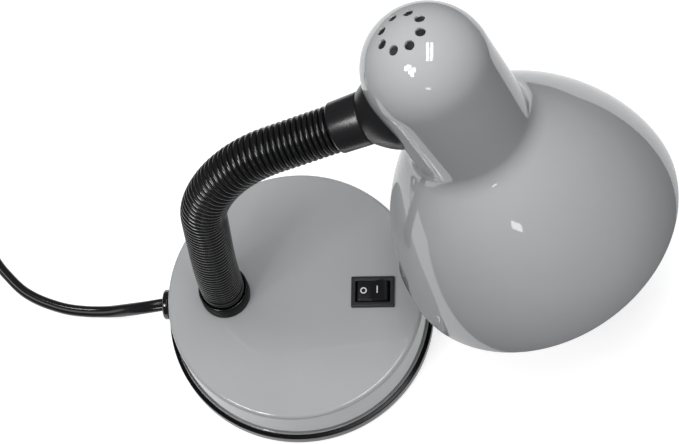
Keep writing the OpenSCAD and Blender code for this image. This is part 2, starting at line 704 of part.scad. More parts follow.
module holder_insert() {
  color([0.9, 0.89, 0.85]) in_head() translate([0, 0, insert_bottom]) difference() {
    cylinder(r = cap_d / 2 - holder_t - slide, h = insert_t);
    translate([0, 0, -1]) cylinder(d = contact_d + 0.6, h = 4);
    translate([0, 0, -1]) cylinder(r = lamp_thread_d / 2 - slide, h = 1.4);
    translate([0, 0, insert_t - 3.2]) cylinder(r = 2.6, h = 10);
  }
}

module holder_thread() {
  r = lamp_thread_d / 2;
  color([0.8, 0.7, 0.4]) in_head()
    tube(r + lamp_shell_t, r, insert_bottom - shell_l, insert_bottom);
}

module holder_contact() {
  color([0.8, 0.7, 0.4]) in_head() translate([0, 0, insert_bottom]) {
    translate([0, 0, 2]) cylinder(d = contact_d, h = 1);
    translate([0, 0, 0.5]) cylinder(d = 7, h = 1.6);
  }
}

module holder_screw() {
  color([0.75, 0.75, 0.77]) in_head() {
    translate([0, 0, cap_top + bracket_t]) difference() {
      cylinder(r = 3.6, h = 2.2);
      translate([-4, -0.5, 1.4]) cube([8, 1, 2]);
    }
    translate([0, 0, cap_top - 6]) cylinder(r = 2, h = 7 + bracket_t);
  }
}

// ---- cord ----
module mains_cord() {
  color([0.06, 0.06, 0.07]) swept(cord_route, cord_w, cord_t, 12, true, cord_tilt);
}

module cord_coil() {
  color([0.06, 0.06, 0.07]) translate([coil_at[0], coil_at[1], coil_z]) difference() {
    cylinder(r = coil_out, h = coil_top - coil_z);
    translate([0, 0, -1]) cylinder(r = coil_in, h = coil_top + 2);
  }
}

module coil_tie() {
  w = coil_out - coil_in + 0.5;
  h = coil_top - coil_z + 0.2;
  color([0.5, 0.5, 0.52]) translate([coil_at[0], coil_at[1] + coil_turn_r, coil_z - 0.1])
    rotate([0, -90, 0]) linear_extrude(5, center = true) difference() {
      translate([-tie_t, -w / 2 - tie_t]) square([h + 2 * tie_t, w + 2 * tie_t]);
      translate([0, -w / 2]) square([h, w]);
    }
}

plug_l = 36;
plug_w = 24.8;
plug_t = 13.6;
pin_d = 4;
pin_l = 19;
pin_gap = 18.6;
module on_coil() {
  translate([coil_at[0] - coil_turn_r + 0.5, coil_at[1], coil_top]) children();
}

module plug_body() {
  color([0.06, 0.06, 0.07]) on_coil() linear_extrude(plug_t) polygon([
    [-plug_w / 2, -plug_l / 2], [plug_w / 2, -plug_l / 2], [plug_w / 2, 0],
    [4.6, plug_l / 2], [-4.6, plug_l / 2], [-plug_w / 2, 0]]);
}

module plug_pins() {
  color([0.8, 0.8, 0.82]) on_coil() for (s = [-1, 1])
    translate([s * pin_gap / 2, -plug_l / 2, plug_t / 2]) rotate([90, 0, 0])
      cylinder(d = pin_d, h = pin_l);
}

base_shell();
base_plate();
base_pad();
ballast_disc();
plate_screws();
lower_collar();
foot_nipple();
foot_washer();
foot_nut();
switch_body();
switch_rocker();
switch_blades();
cord_gland();
gland_nut();
terminal_block();
terminal_screws();
supply_leads();
switch_lead();
neck_leads();
sleeve_low_1();
sleeve_low_2();
sleeve_low_3();
sleeve_low_4();
sleeve_lower();
sleeve_bend_1();
sleeve_bend_2();
sleeve_bend_3();
sleeve_bend_4();
sleeve_bend_5();
sleeve_upper();
sleeve_top_1();
core_low_1();
core_low_2();
core_low_3();
core_low_4();
core_lower();
core_bend_1();
core_bend_2();
core_bend_3();
core_bend_4();
core_bend_5();
core_upper();
core_top_1();
upper_collar();
shade_saddle();
head_nipple();
head_nut();
shade();
holder_bracket();
holder_cap();
holder_skirt();
holder_insert();
holder_thread();
holder_contact();
holder_screw();
mains_cord();
cord_coil();
coil_tie();
plug_body();
plug_pins();
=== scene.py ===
"""Gooseneck desk lamp: its visible pieces, finishes, light and camera.

The scene is in metres, in the lamp's own frame: the origin is the centre of
the pad it stands on, +X runs from the neck's foot to the switch, +Z is up.
Sizes that are written in millimetres are turned into metres with MM.
"""

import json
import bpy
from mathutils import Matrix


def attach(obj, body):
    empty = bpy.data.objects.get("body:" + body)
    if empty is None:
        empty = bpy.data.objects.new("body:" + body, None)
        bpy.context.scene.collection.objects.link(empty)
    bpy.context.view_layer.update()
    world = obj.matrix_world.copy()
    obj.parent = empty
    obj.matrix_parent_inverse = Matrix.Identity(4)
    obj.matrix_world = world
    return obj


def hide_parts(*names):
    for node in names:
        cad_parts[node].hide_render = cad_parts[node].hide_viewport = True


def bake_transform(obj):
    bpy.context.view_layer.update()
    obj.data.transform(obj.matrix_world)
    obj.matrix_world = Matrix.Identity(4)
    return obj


bl_info = {
    "name": "Gooseneck Desk Lamp",
    "version": (1, 0, 0),
    "blender": (4, 5, 0),
    "location": "View3D > Sidebar > Desk Lamp",
    "description": "Builds a gooseneck desk lamp and its studio",
    "category": "Add Mesh",
}

from math import acos, asin, atan2, cos, pi, radians, sin, sqrt

import bmesh
import bpy
from bpy.props import FloatProperty, FloatVectorProperty, PointerProperty
from mathutils import Matrix, Vector

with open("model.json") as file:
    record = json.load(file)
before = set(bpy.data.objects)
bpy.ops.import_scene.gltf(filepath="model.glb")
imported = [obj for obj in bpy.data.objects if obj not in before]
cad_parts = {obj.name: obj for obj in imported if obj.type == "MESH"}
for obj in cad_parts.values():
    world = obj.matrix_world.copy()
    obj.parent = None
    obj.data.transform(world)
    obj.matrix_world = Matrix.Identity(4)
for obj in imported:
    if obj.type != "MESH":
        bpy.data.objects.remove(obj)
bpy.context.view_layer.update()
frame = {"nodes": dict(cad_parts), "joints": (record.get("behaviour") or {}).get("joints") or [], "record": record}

MM = 0.001
UP = Vector((0, 0, 1))

# ---- what the frame says ----
JOINTS = {joint["name"]: joint for joint in frame["joints"]}
NECK_JOINTS = [
    "lean_1", "sway_1", "lean_2", "sway_2", "lean_3", "bend_1", "bend_2",
    "bend_3", "bend_4", "bend_5", "bend_6", "nod", "turn",
]
LINKS = [
    "low_1", "low_2", "low_3", "low_4", "lower", "bend_1", "bend_2", "bend_3",
    "bend_4", "bend_5", "upper", "top_1",
]
# how many ribs each link carries
LINK_RIBS = [4, 4, 4, 4, 15, 4, 4, 4, 4, 4, 10, 4]
PIVOTS = [Vector(JOINTS[name]["pos_m"]) for name in NECK_JOINTS]
SOCKET = next(m for m in frame["record"]["mounts"] if m["name"] == "lamp_socket")
POLE = -Vector(SOCKET["axis"]).normalized()
# where the neck's end meets the shade's axis, and the way from the last joint to it
HEAD = Vector(SOCKET["pos_m"]) + POLE * (PIVOTS[-1] - Vector(SOCKET["pos_m"])).dot(POLE)
REACH = (HEAD - PIVOTS[-1]).normalized()


def facing(origin, z, x):
    """The matrix of a place whose z and x axes point along these directions."""
    z = z.normalized()
    y = z.cross(x).normalized()
    x = y.cross(z)
    turn = Matrix((x, y, z)).transposed().to_4x4()
    return Matrix.Translation(origin) @ turn


HEAD_PLACE = facing(HEAD, POLE, REACH)


# ---- settings ----
class LampSizes(bpy.types.PropertyGroup):
    """Sizes of the visible pieces."""

    rib_depth: FloatProperty(
        name="Rib depth", description="Depth of the grooves in the neck's visible sleeve",
        default=0.0012, unit="LENGTH", precision=5)
    hem: FloatProperty(
        name="Hem", description="Radius of the rolled edge of the base shell",
        default=0.00055, unit="LENGTH", precision=5)
    cord_width: FloatProperty(
        name="Cord width", description="Width of the flat twin cord",
        default=0.0064, unit="LENGTH", precision=5)
    cord_thickness: FloatProperty(
        name="Cord thickness", description="Thickness of the flat twin cord",
        default=0.0036, unit="LENGTH", precision=5)


class LampColours(bpy.types.PropertyGroup):
    """Colours of the finishes."""

    enamel: FloatVectorProperty(
        name="Enamel", description="Grey stove enamel of the base and shade",
        default=(0.378, 0.385, 0.393), subtype="COLOR", size=3)
    lining: FloatVectorProperty(
        name="Lining", description="White paint inside the shade",
        default=(0.80, 0.80, 0.78), subtype="COLOR", size=3)
    moulding: FloatVectorProperty(
        name="Moulding", description="Black of the collars, saddle and switch",
        default=(0.007, 0.007, 0.008), subtype="COLOR", size=3)
    sleeve: FloatVectorProperty(
        name="Sleeve", description="Black of the ribbed neck",
        default=(0.006, 0.006, 0.007), subtype="COLOR", size=3)
    mark: FloatVectorProperty(
        name="Mark", description="White of the switch's marks",
        default=(0.75, 0.75, 0.76), subtype="COLOR", size=3)


class StudioSettings(bpy.types.PropertyGroup):
    """Light of the studio."""

    overhead: FloatProperty(
        name="Overhead", description="Power of the soft light overhead",
        default=4.4, unit="POWER")
    tubes: FloatProperty(
        name="Tubes", description="Power of each tube overhead", default=2.1, unit="POWER")
    cluster: FloatProperty(
        name="Cluster", description="Power of the lights at the left", default=4.0, unit="POWER")
    front: FloatProperty(
        name="Front", description="Power of the bar in front", default=0.14, unit="POWER")
    sky: FloatProperty(
        name="Sky", description="Strength of the room's light", default=0.24)
    paper_glow: FloatProperty(
        name="Paper", description="How bright the paper is in reflections", default=0.55)


class LampSettings(bpy.types.PropertyGroup):
    """All the lamp's settings."""

    sizes: PointerProperty(type=LampSizes)
    colours: PointerProperty(type=LampColours)
    studio: PointerProperty(type=StudioSettings)


def settings():
    """The settings that this scene holds."""
    return bpy.context.scene.desk_lamp


# ---- shader expressions ----
class Wire:
    """A shader value that can stand in a Python expression."""

    def __init__(self, finish, socket):
        self.finish = finish
        self.socket = socket

    def output(self, name):
        """Another output of the node that this value comes from."""
        return Wire(self.finish, self.socket.node.outputs[name])

    def _with(self, operation, *values):
        return self.finish.node(
            "ShaderNodeMath", {"operation": operation}, dict(enumerate(values)))

    def __add__(self, other):
        return self._with("ADD", self, other)

    __radd__ = __add__


class Finish:
    """A material that is put together node by node."""

    def __init__(self, name, material=None):
        self.material = material or bpy.data.materials.new(name)
        self.material.use_nodes = True
        self.tree = self.material.node_tree
        self.tree.nodes.clear()

    @classmethod
    def of_world(cls, name):
        """The same for the scene's world."""
        world = bpy.data.worlds.new(name)
        bpy.context.scene.world = world
        return cls(name, world)

    def node(self, kind, choices=None, values=None, out=0):
        """A node of this type: its settings first, then the values or links of its sockets."""
        made = self.tree.nodes.new(kind)
        for key, value in (choices or {}).items():
            setattr(made, key, value)
        for key, value in (values or {}).items():
            self.feed(made.inputs[key], value)
        return Wire(self, made.outputs[out]) if made.outputs else None

    def feed(self, socket, value):
        """Links or sets a socket. A colour of three numbers gets full alpha."""
        if isinstance(value, Wire):
            self.tree.links.new(value.socket, socket)
            return
        held = socket.default_value
        if hasattr(held, "__len__") and len(held) == 4 and len(value) == 3:
            socket.default_value = (*value, 1)
        else:
            socket.default_value = value

    def place(self):
        """Where a point is on the piece, in metres."""
        return self.node("ShaderNodeTexCoord", out=3)

    def noise(self, scale, detail=3, rough=0.5):
        return self.node("ShaderNodeTexNoise", values={
            "Vector": self.place(), "Scale": scale, "Detail": detail, "Roughness": rough})

    def spread(self, value, low, high, to_low, to_high):
        return self.node("ShaderNodeMapRange", values={
            "Value": value, "From Min": low, "From Max": high, "To Min": to_low, "To Max": to_high})

    def mix(self, share, first, second):
        """A colour between two colours."""
        return self.node(
            "ShaderNodeMix", {"data_type": "RGBA"},
            {"Factor": share, 6: first, 7: second}, out=2)

    def blend(self, share, first, second):
        """A shader between two shaders."""
        return self.node("ShaderNodeMixShader", values={0: share, 1: first, 2: second})

    def bump(self, height, strength, distance):
        return self.node("ShaderNodeBump", values={
            "Height": height, "Strength": strength, "Distance": distance})

    def surface(self, **values):
        named = {key.replace("_", " "): value for key, value in values.items()}
        shader = self.node("ShaderNodeBsdfPrincipled", values=named)
        self.node("ShaderNodeOutputMaterial", values={"Surface": shader})
        return self.material


# ---- finishes ----
def toned(colour, share):
    """A colour made darker or lighter, up to full."""
    return [min(1, c * share) for c in colour]


def enamel(name, colour):
    """Grey stove enamel: a soft body colour under a hard gloss, with a trace of orange peel."""
    f = Finish(name)
    cloud = f.noise(24, 3)
    speck = f.noise(3200, 2, 0.6)
    shade = f.spread(cloud, 0.3, 0.7, 0.0, 0.7) + f.spread(speck, 0.4, 0.6, 0.0, 0.3)
    return f.surface(
        Base_Color=f.mix(shade, toned(colour, 0.97), toned(colour, 1.03)),
        Roughness=f.spread(cloud, 0.3, 0.7, 0.46, 0.54), Specular_IOR_Level=0.05,
        Coat_Weight=1.0, Coat_Roughness=0.045, Coat_IOR=1.75,
        Normal=f.bump(f.noise(260, 1), 0.04, 0.0003))


def lining_paint(name, colour):
    """White paint that throws the lamp's light out of the shade."""
    f = Finish(name)
    cloud = f.noise(60, 3)
    return f.surface(
        Base_Color=f.mix(cloud, toned(colour, 0.96), colour),
        Roughness=f.spread(cloud, 0.3, 0.7, 0.38, 0.46),
        Normal=f.bump(f.noise(500, 1), 0.05, 0.0004))


def moulded(name, colour, roughness, grain=1500, depth=0.08, gloss=0.5):
    """Moulded plastic with a fine grain and slightly uneven gloss."""
    f = Finish(name)
    fine = f.noise(grain, 2)
    cloud = f.noise(45, 3)
    return f.surface(
        Base_Color=f.mix(cloud, toned(colour, 0.85), toned(colour, 1.15)),
        Roughness=f.spread(cloud, 0.3, 0.7, roughness - 0.03, roughness + 0.04),
        Specular_IOR_Level=gloss, Normal=f.bump(fine, depth, 0.0003))


def metal(name, colour, roughness, scratch=900):
    """Plain metal with fine machining marks."""
    f = Finish(name)
    marks = f.noise(scratch, 4, 0.7)
    return f.surface(
        Base_Color=f.mix(marks, toned(colour, 0.88), toned(colour, 1.05)),
        Metallic=1.0,
        Roughness=f.spread(marks, 0.3, 0.7, roughness - 0.05, roughness + 0.08),
        Normal=f.bump(marks, 0.06, 0.0002))


def cast(name, colour):
    """Raw cast iron."""
    f = Finish(name)
    pits = f.noise(700, 6, 0.7)
    return f.surface(
        Base_Color=f.mix(pits, toned(colour, 0.6), toned(colour, 1.3)),
        Metallic=0.7, Roughness=f.spread(pits, 0.3, 0.7, 0.55, 0.75),
        Normal=f.bump(pits, 0.3, 0.0006))


def foam(name, colour):
    """Fine closed-cell foam."""
    f = Finish(name)
    cells = f.node("ShaderNodeTexVoronoi", {"feature": "F1"}, {"Vector": f.place(), "Scale": 1400})
    return f.surface(
        Base_Color=f.mix(cells, toned(colour, 0.7), toned(colour, 1.4)),
        Roughness=0.85, Normal=f.bump(cells, 0.35, 0.0004))


def glazed(name, colour):
    """Glazed porcelain."""
    f = Finish(name)
    cloud = f.noise(120, 3)
    return f.surface(
        Base_Color=f.mix(cloud, toned(colour, 0.94), colour),
        Roughness=f.spread(cloud, 0.3, 0.7, 0.12, 0.2), Coat_Weight=0.6, Coat_Roughness=0.05)


FINISHES = {}


def make_finishes():
    c = settings().colours
    FINISHES.update({
        "enamel": enamel("grey_enamel", c.enamel),
        "lining": lining_paint("white_lining", c.lining),
        "moulding": moulded("black_moulding", toned(c.moulding, 0.8), 0.27, gloss=1.0),
        "collar": moulded("collar_plastic", toned(c.moulding, 0.5), 0.5, gloss=0.1),
        "gloss": moulded("glossy_black", toned(c.sleeve, 0.5), 0.14, 1500, 0.03, 1.0),
        "switch": moulded("switch_plastic", c.moulding, 0.34, 2200, 0.12),
        "bezel": moulded("bezel_plastic", toned(c.moulding, 3), 0.46, 2600, 0.3),
        "sleeve": moulded("sleeve_plastic", toned(c.sleeve, 0.4), 0.2, 1800, 0.05, 1.0),
        "cord": moulded("cord_sheath", c.sleeve, 0.2, 900, 0.04, 0.7),
        "plate": moulded("plate_plastic", toned(c.moulding, 0.5), 0.2, gloss=0.25),
        "bakelite": moulded("dark_bakelite", (0.03, 0.026, 0.022), 0.4),
        "mark": moulded("white_mark", c.mark, 0.4),
        "block": moulded("terminal_plastic", (0.72, 0.71, 0.66), 0.45),
        "blue": moulded("blue_lead", (0.02, 0.07, 0.35), 0.4),
        "brown": moulded("brown_lead", (0.14, 0.05, 0.02), 0.4),
        "zinc": metal("zinc_steel", (0.62, 0.63, 0.64), 0.32),
        "spring": metal("spring_steel", (0.42, 0.43, 0.45), 0.38),
        "brass": metal("brass_parts", (0.72, 0.52, 0.24), 0.28),
        "nickel": metal("nickel_pins", (0.72, 0.71, 0.69), 0.16),
        "iron": cast("cast_ballast", (0.10, 0.10, 0.105)),
        "foam": foam("pad_foam", (0.02, 0.02, 0.021)),
        "porcelain": glazed("porcelain_insert", (0.78, 0.77, 0.73)),
    })


# ---- mesh makers ----
def loft(name, loops, around=False, matrix=None):
    """A closed piece through loops of points. A loop of one point is a tip.
    around joins the last loop to the first; otherwise the two ends are closed."""
    points, faces, rows = [], [], []
    for ring in loops:
        rows.append(range(len(points), len(points) + len(ring)))
        points.extend(ring)
    pairs = list(zip(rows, rows[1:])) + ([(rows[-1], rows[0])] if around else [])
    for low, high in pairs:
        n = max(len(low), len(high))
        for k in range(n):
            m = (k + 1) % n
            if len(low) == 1:
                faces.append((low[0], high[m], high[k]))
            elif len(high) == 1:
                faces.append((low[k], low[m], high[0]))
            else:
                faces.append((low[k], low[m], high[m], high[k]))
    if not around:
        faces += [tuple(row) for row in (rows[0], rows[-1]) if len(row) > 1]
    if matrix is not None:
        points = [matrix @ Vector(p) for p in points]
    mesh = bpy.data.meshes.new(name)
    mesh.from_pydata([tuple(p) for p in points], [], faces)
    tidy = bmesh.new()
    tidy.from_mesh(mesh)
    bmesh.ops.recalc_face_normals(tidy, faces=tidy.faces)
    tidy.to_mesh(mesh)
    tidy.free()
    piece = bpy.data.objects.new(name, mesh)
    bpy.context.scene.collection.objects.link(piece)
    smooth(piece)
    return piece


# the least angle between two faces that shows as a sharp edge, in degrees
SHARP = 32
# steps round the largest turned pieces, and round the collars
FINE, ROUND = 192, 128


def smooth(piece, angle=SHARP):
    for face in piece.data.polygons:
        face.use_smooth = True
    piece.data.set_sharp_from_angle(angle=radians(angle))


def ring(radius, height, steps=96):
    if radius < 1e-7:
        return [Vector((0, 0, height))]
    return [Vector((radius * cos(2 * pi * k / steps), radius * sin(2 * pi * k / steps), height))
            for k in range(steps)]


def in_metres(points):
    """The points of a profile that is given in millimetres."""
    return [(x * MM, z * MM) for x, z in points]


def at(x, y, z):
    """The matrix of a place that is given in millimetres."""
    return Matrix.Translation(Vector((x, y, z)) * MM)


def turned(name, profile, matrix=None, steps=96, around=True):
    """A piece turned about its z axis, from (radius, height) points."""
    return loft(name, [ring(r, z, steps) for r, z in profile], around, matrix)


def drum(name, radius, low, high, steps=48, matrix=None):
    """A plain cylinder about the z axis."""
    return loft(name, [ring(radius, z, steps) for z in (low, high)], matrix=matrix)


def rounded(corners, steps=5):
    """A profile whose corners (x, y, radius) are rounded."""
    out = []
    n = len(corners)
    for i, (x, y, r) in enumerate(corners):
        here = Vector((x, y))
        if r <= 0:
            out.append((x, y))
            continue
        before = (Vector(corners[i - 1][:2]) - here).normalized()
        after = (Vector(corners[(i + 1) % n][:2]) - here).normalized()
        half = acos(max(-1, min(1, before.dot(after)))) / 2
        if half > radians(89):
            out.append((x, y))
            continue
        reach = r / (sin(half) / cos(half))
        middle = here + (before + after).normalized() * (r / sin(half))
        a = here + before * reach - middle
        b = here + after * reach - middle
        start = atan2(a.y, a.x)
        turn = (atan2(b.y, b.x) - start + pi) % (2 * pi) - pi
        for k in range(steps + 1):
            t = start + turn * k / steps
            out.append((middle.x + r * cos(t), middle.y + r * sin(t)))
    return out


def slab(half_x, half_y, corner, height, steps=5):
    """A loop round a rectangle with rounded corners."""
    out = []
    for cx, cy, start in ((1, 1, 0), (-1, 1, 90), (-1, -1, 180), (1, -1, 270)):
        for k in range(steps + 1):
            a = radians(start + 90 * k / steps)
            out.append(Vector((cx * (half_x - corner) + corner * cos(a),
                               cy * (half_y - corner) + corner * sin(a), height)))
    return out


def block(name, half_x, half_y, corner, low, high, matrix=None):
    """A plain block with rounded upright edges."""
    loops = [slab(half_x, half_y, corner, z) for z in (low, high)]
    return loft(name, loops, matrix=matrix)


def cut(piece, cutters, angle=SHARP):
    """Takes the cutters out of the piece."""
    for cutter in cutters:
        step = piece.modifiers.new("cut", "BOOLEAN")
        step.operation, step.solver, step.object = "DIFFERENCE", "EXACT", cutter
    bpy.context.view_layer.update()
    whole = piece.evaluated_get(bpy.context.evaluated_depsgraph_get())
    mesh = bpy.data.meshes.new_from_object(whole)
    piece.modifiers.clear()
    piece.data = mesh
    for cutter in cutters:
        bpy.data.objects.remove(cutter)
    smooth(piece, angle)


def dress(piece, finish, body, slot, *nodes):
    """Gives a piece its finish, ties it to the body it moves with, and hides the parts it stands in for."""
    piece.data.materials.clear()
    piece.data.materials.append(FINISHES[finish])
    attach(piece, body)
    if nodes:
        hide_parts(*nodes)
    return piece


# ---- cord ----
# the cord's way from inside the gland to the coil, in millimetres
ROUTE = [
    (-60.4, 0, 19.6), (-67, 0, 19.6), (-71, -0.4, 19.3), (-75, -0.7, 18.4),
    (-79, -0.7, 16.8), (-83, -0.4, 14.4), (-87.5, 0.2, 11.2), (-92, 0.8, 8),
    (-96, 1.3, 5.6), (-100, 1.7, 4.1), (-104, 2, 3.3), (-108, 2.2, 3),
    (-112, 2.5, 3), (-117, 3.1, 3), (-122, 4.1, 3), (-127, 5.6, 3),
    (-132.3, 7.5, 3), (-137.8, 10, 3), (-143.2, 13.2, 3), (-147.6, 16.8, 3),
    (-151.6, 20.8, 3), (-156.4, 26, 3), (-161, 32.4, 3), (-164.9, 40.4, 3),
    (-167.4, 49, 3), (-168.5, 58, 2.9), (-168.8, 64.4, 2.8), (-168.6, 70, 2.7),
]
# points of the line between two points of ROUTE
ROUTE_STEPS = 4
# how far the cord lies over on its edge between the gland and the coil
CORD_TILT = radians(-58)
# in points of ROUTE: where it starts to roll, over how many, and over how many it lies flat again
ROLL_FROM, ROLL_OVER, ROLL_BACK = 3, 7, 5
# half the arc of each of its two lobes, in degrees
LOBE = 134
# the coil's centreline in millimetres: its centre, least and largest radius, and layer heights
COIL = Vector((-212, 75, 0))
COIL_IN, COIL_OUT = 28.6, 41.5
COIL_LAYERS = (2.7, 6.4, 10.1)
COIL_TURNS, COIL_STEPS, COIL_START = 7.44, 40, radians(-4)
# the last turn moves in by this much, over this share of a turn
LAST_IN, LAST_SHARE = 3.4, 1.2
# from the coil up to the plug, in millimetres
TAIL = [Vector((-243.8, 99.5, 15.6)), Vector((-246.5, 92.5, 18.8)), Vector((-246.5, 84, 18.8))]
TAIL_STEPS = 6
# the pins, in metres: radius, length, half their distance, and where they leave the plug
PIN_R, PIN_LENGTH, PIN_APART, PIN_Y, PIN_Z = 0.002, 0.0195, 0.0093, -0.0175, 0.0068
PLUG_AT = (-246.5, 75, 12.0)
PLUG_HALF, PLUG_HALF_LENGTH = 12.4, 18.0
# the plug's outline seen from above: x, y and radius of each corner
PLUG_OUTLINE = [
    (-12.4, -18, 2.2), (12.4, -18, 2.2), (12.4, -3, 9), (9.6, 6, 9), (4.9, 13, 8),
    (4.4, 18, 1.2), (-4.4, 18, 1.2), (-4.9, 13, 8), (-9.6, 6, 9), (-12.4, -3, 9),
]
# heights of its loops, and how far in from the outline each lies
PLUG_LEVELS = [
    (0.0, 2.4), (0.35, 1.2), (1.3, 0.35), (2.8, 0.0), (6.8, 0.0),
    (10.8, 0.0), (12.3, 0.35), (13.25, 1.2), (13.6, 2.4),
]
# the tie: its distance from the coil's centre, its way round the bundle, its section
TIE_AT, TIE_HALF, TIE_LOW, TIE_HIGH, TIE_CORNER = 35, 10.6, 0.4, 12.5, 1.6
TIE_SECTION = ((-2.3, -0.3), (2.3, -0.3), (2.5, 0), (2.3, 0.3), (-2.3, 0.3), (-2.5, 0))


def through(points, per):
    """A smooth line through these points."""
    out = []
    for i in range(len(points) - 1):
        a = points[max(i - 1, 0)]
        b, c = points[i], points[i + 1]
        d = points[min(i + 2, len(points) - 1)]
        for k in range(per):
            t = k / per
            out.append(0.5 * ((2 * b) + (c - a) * t + (2 * a - 5 * b + 4 * c - d) * t * t
                              + (3 * b - a - 3 * c + d) * t ** 3))
    out.append(points[-1])
    return out


def eased(t):
    """From 0 to 1, with a soft start and a soft end."""
    return t * t * (3 - 2 * t)


def coil_line():
    """The turns of the coil: in and out in flat layers, and up from one to the next."""
    out = []
    for k in range(1, int(COIL_TURNS * COIL_STEPS) + 1):
        t = k / COIL_STEPS
        if t < 2:
            r = COIL_OUT + (COIL_IN - COIL_OUT) * t / 2
            z = COIL_LAYERS[0]
        elif t < 3:
            r = COIL_IN
            z = COIL_LAYERS[0] + (COIL_LAYERS[1] - COIL_LAYERS[0]) * eased(t - 2)
        elif t < 5:
            r = COIL_IN + (COIL_OUT - COIL_IN) * (t - 3) / 2
            z = COIL_LAYERS[1]
        elif t < 6:
            r = COIL_OUT
            z = COIL_LAYERS[1] + (COIL_LAYERS[2] - COIL_LAYERS[1]) * eased(t - 5)
        else:
            r = COIL_OUT - LAST_IN * min(1, (t - 6) / LAST_SHARE)
            z = COIL_LAYERS[2]
        a = COIL_START + 2 * pi * t
        out.append(COIL + Vector((r * cos(a), r * sin(a), z)))
    return out


def cord_line():
    """Points along the cord's whole centreline, in metres."""
    # the coil gives up its first and last points to the stretches that join it
    joined = through([Vector(p) for p in ROUTE], ROUTE_STEPS) + coil_line()[2:-4]
    joined += through([*joined[-2:], *TAIL], TAIL_STEPS)[TAIL_STEPS + 1:]
    return [p * MM for p in joined]


def swept(name, line, outline, roll=None):
    """A piece swept along a line, with its width level or rolled about the line."""
    loops = []
    last = len(line) - 1
    for i, p in enumerate(line):
        t = (line[min(i + 1, last)] - line[max(i - 1, 0)]).normalized()
        side = UP.cross(t).normalized()
        if roll is not None:
            side = Matrix.Rotation(roll(i), 3, t) @ side
        lift = t.cross(side)
        loops.append([p + side * x + lift * y for x, y in outline])
    return loft(name, loops)


def twin_outline(width, thickness, steps=9):
    """Two round lobes side by side, with a shallow valley between them."""
    r = thickness / 2
    off = width / 2 - r
    out = []
    for side in (1, -1):
        for k in range(steps + 1):
            a = radians(-LOBE + 2 * LOBE * k / steps) + (0 if side > 0 else pi)
            out.append((side * off + r * cos(a), r * sin(a)))
    return out


class LAMP_OT_cord(bpy.types.Operator):
    """Adds the mains cord, its coil, its tie and its plug."""

    bl_idname = "lamp.cord"
    bl_label = "Cord"

    def execute(self, context):
        s = settings().sizes
        line = cord_line()
        outline = twin_outline(s.cord_width, s.cord_thickness)

        def roll(i):
            done = i / ROUTE_STEPS
            rising = min(1, max(0, (done - ROLL_FROM) / ROLL_OVER))
            falling = min(1, max(0, (len(ROUTE) - 1 - done) / ROLL_BACK))
            return CORD_TILT * eased(rising) * eased(falling)

        sheath = swept("mains_cord_sheath", line, outline, roll)
        dress(sheath, "cord", "base", "cord_black", "mains_cord", "cord_coil")

        tie = loft("coil_tie_band", tie_loops(), around=True)
        dress(tie, "moulding", "base", "black_satin", "coil_tie")

        plug = loft("plug_moulding", plug_loops(), matrix=plug_place())
        dress(plug, "moulding", "base", "black_satin", "plug_body")
        pins = [self.pin(side) for side in (-1, 1)]
        return {"FINISHED"}

    def pin(self, side):
        profile = rounded([
            (0, 0, 0), (PIN_R, 0, 0.0001), (PIN_R, PIN_LENGTH, 0.0016), (0, PIN_LENGTH, 0)])
        spot = Matrix.Translation((side * PIN_APART, PIN_Y, PIN_Z))
        place = plug_place() @ spot @ Matrix.Rotation(pi / 2, 4, "X")
        name = "plug_pin_left" if side < 0 else "plug_pin_right"
        pin = turned(name, profile, place, 32, around=False)
        return dress(pin, "nickel", "base", "pin_nickel", "plug_pins")


def plug_place():
    return at(*PLUG_AT)


def plug_loops():
    """A flat plug: level loops from its underside to its top, pinched along its waist."""
    loops = []
    for z, inset in PLUG_LEVELS:
        across = (PLUG_HALF - inset) / PLUG_HALF
        along = (PLUG_HALF_LENGTH - inset) / PLUG_HALF_LENGTH
        corners = [(x * across, y * along, r) for x, y, r in PLUG_OUTLINE]
        loops.append([Vector((x, y, z)) * MM for x, y in rounded(corners, 4)])
    return loops


def tie_loops():
    """A flexible band round the bundle, as loops along its way."""
    x, y = COIL.x, COIL.y + TIE_AT
    near, far = y - TIE_HALF, y + TIE_HALF
    way = rounded([(near, TIE_LOW, TIE_CORNER), (far, TIE_LOW, TIE_CORNER),
                   (far, TIE_HIGH, TIE_CORNER), (near, TIE_HIGH, TIE_CORNER)], 4)
    centre = Vector((y, COIL_LAYERS[1]))
    loops = []
    for py, pz in way:
        out = (Vector((py, pz)) - centre).normalized()
        loops.append([Vector((x + dx, py + out.x * dz, pz + out.y * dz)) * MM
                      for dx, dz in TIE_SECTION])
    return loops


# ---- base ----
# in millimetres: the shell's radius at its rim and at its shoulder, and the heights of both ends
SHELL_R, SHELL_TOP_R, SHELL_Z, BASE_H = 64.0, 62.8, 9.0, 34.0
# the radius of its shoulder, the thickness of the sheet, the height of its hemmed band
SHOULDER, SHEET, BAND = 2.2, 0.9, 1.9
# the gland's height, and where its hole is cut and its flange sits
GLAND_Z, GLAND_HOLE_X, GLAND_X = 19.6, -63.4, -63.44
FOOT = PIVOTS[0].copy()
SWITCH_X, COLLAR_H = 38.0, 9.5
# holes through the sheet, in metres
NIPPLE_HOLE_R, GLAND_HOLE_R = 0.00505, 0.00555
SWITCH_HOLE = (0.00955, 0.00655, 0.0004)
# the screws under the plate, in metres: their circle, and the profile of a hole
SCREW_RING = 0.040
SCREW_HOLE = [
    (0, 0.001), (0.0042, 0.001), (0.0042, 0.0016), (0.00215, 0.0038), (0.00215, 0.006),
    (0, 0.006),
]


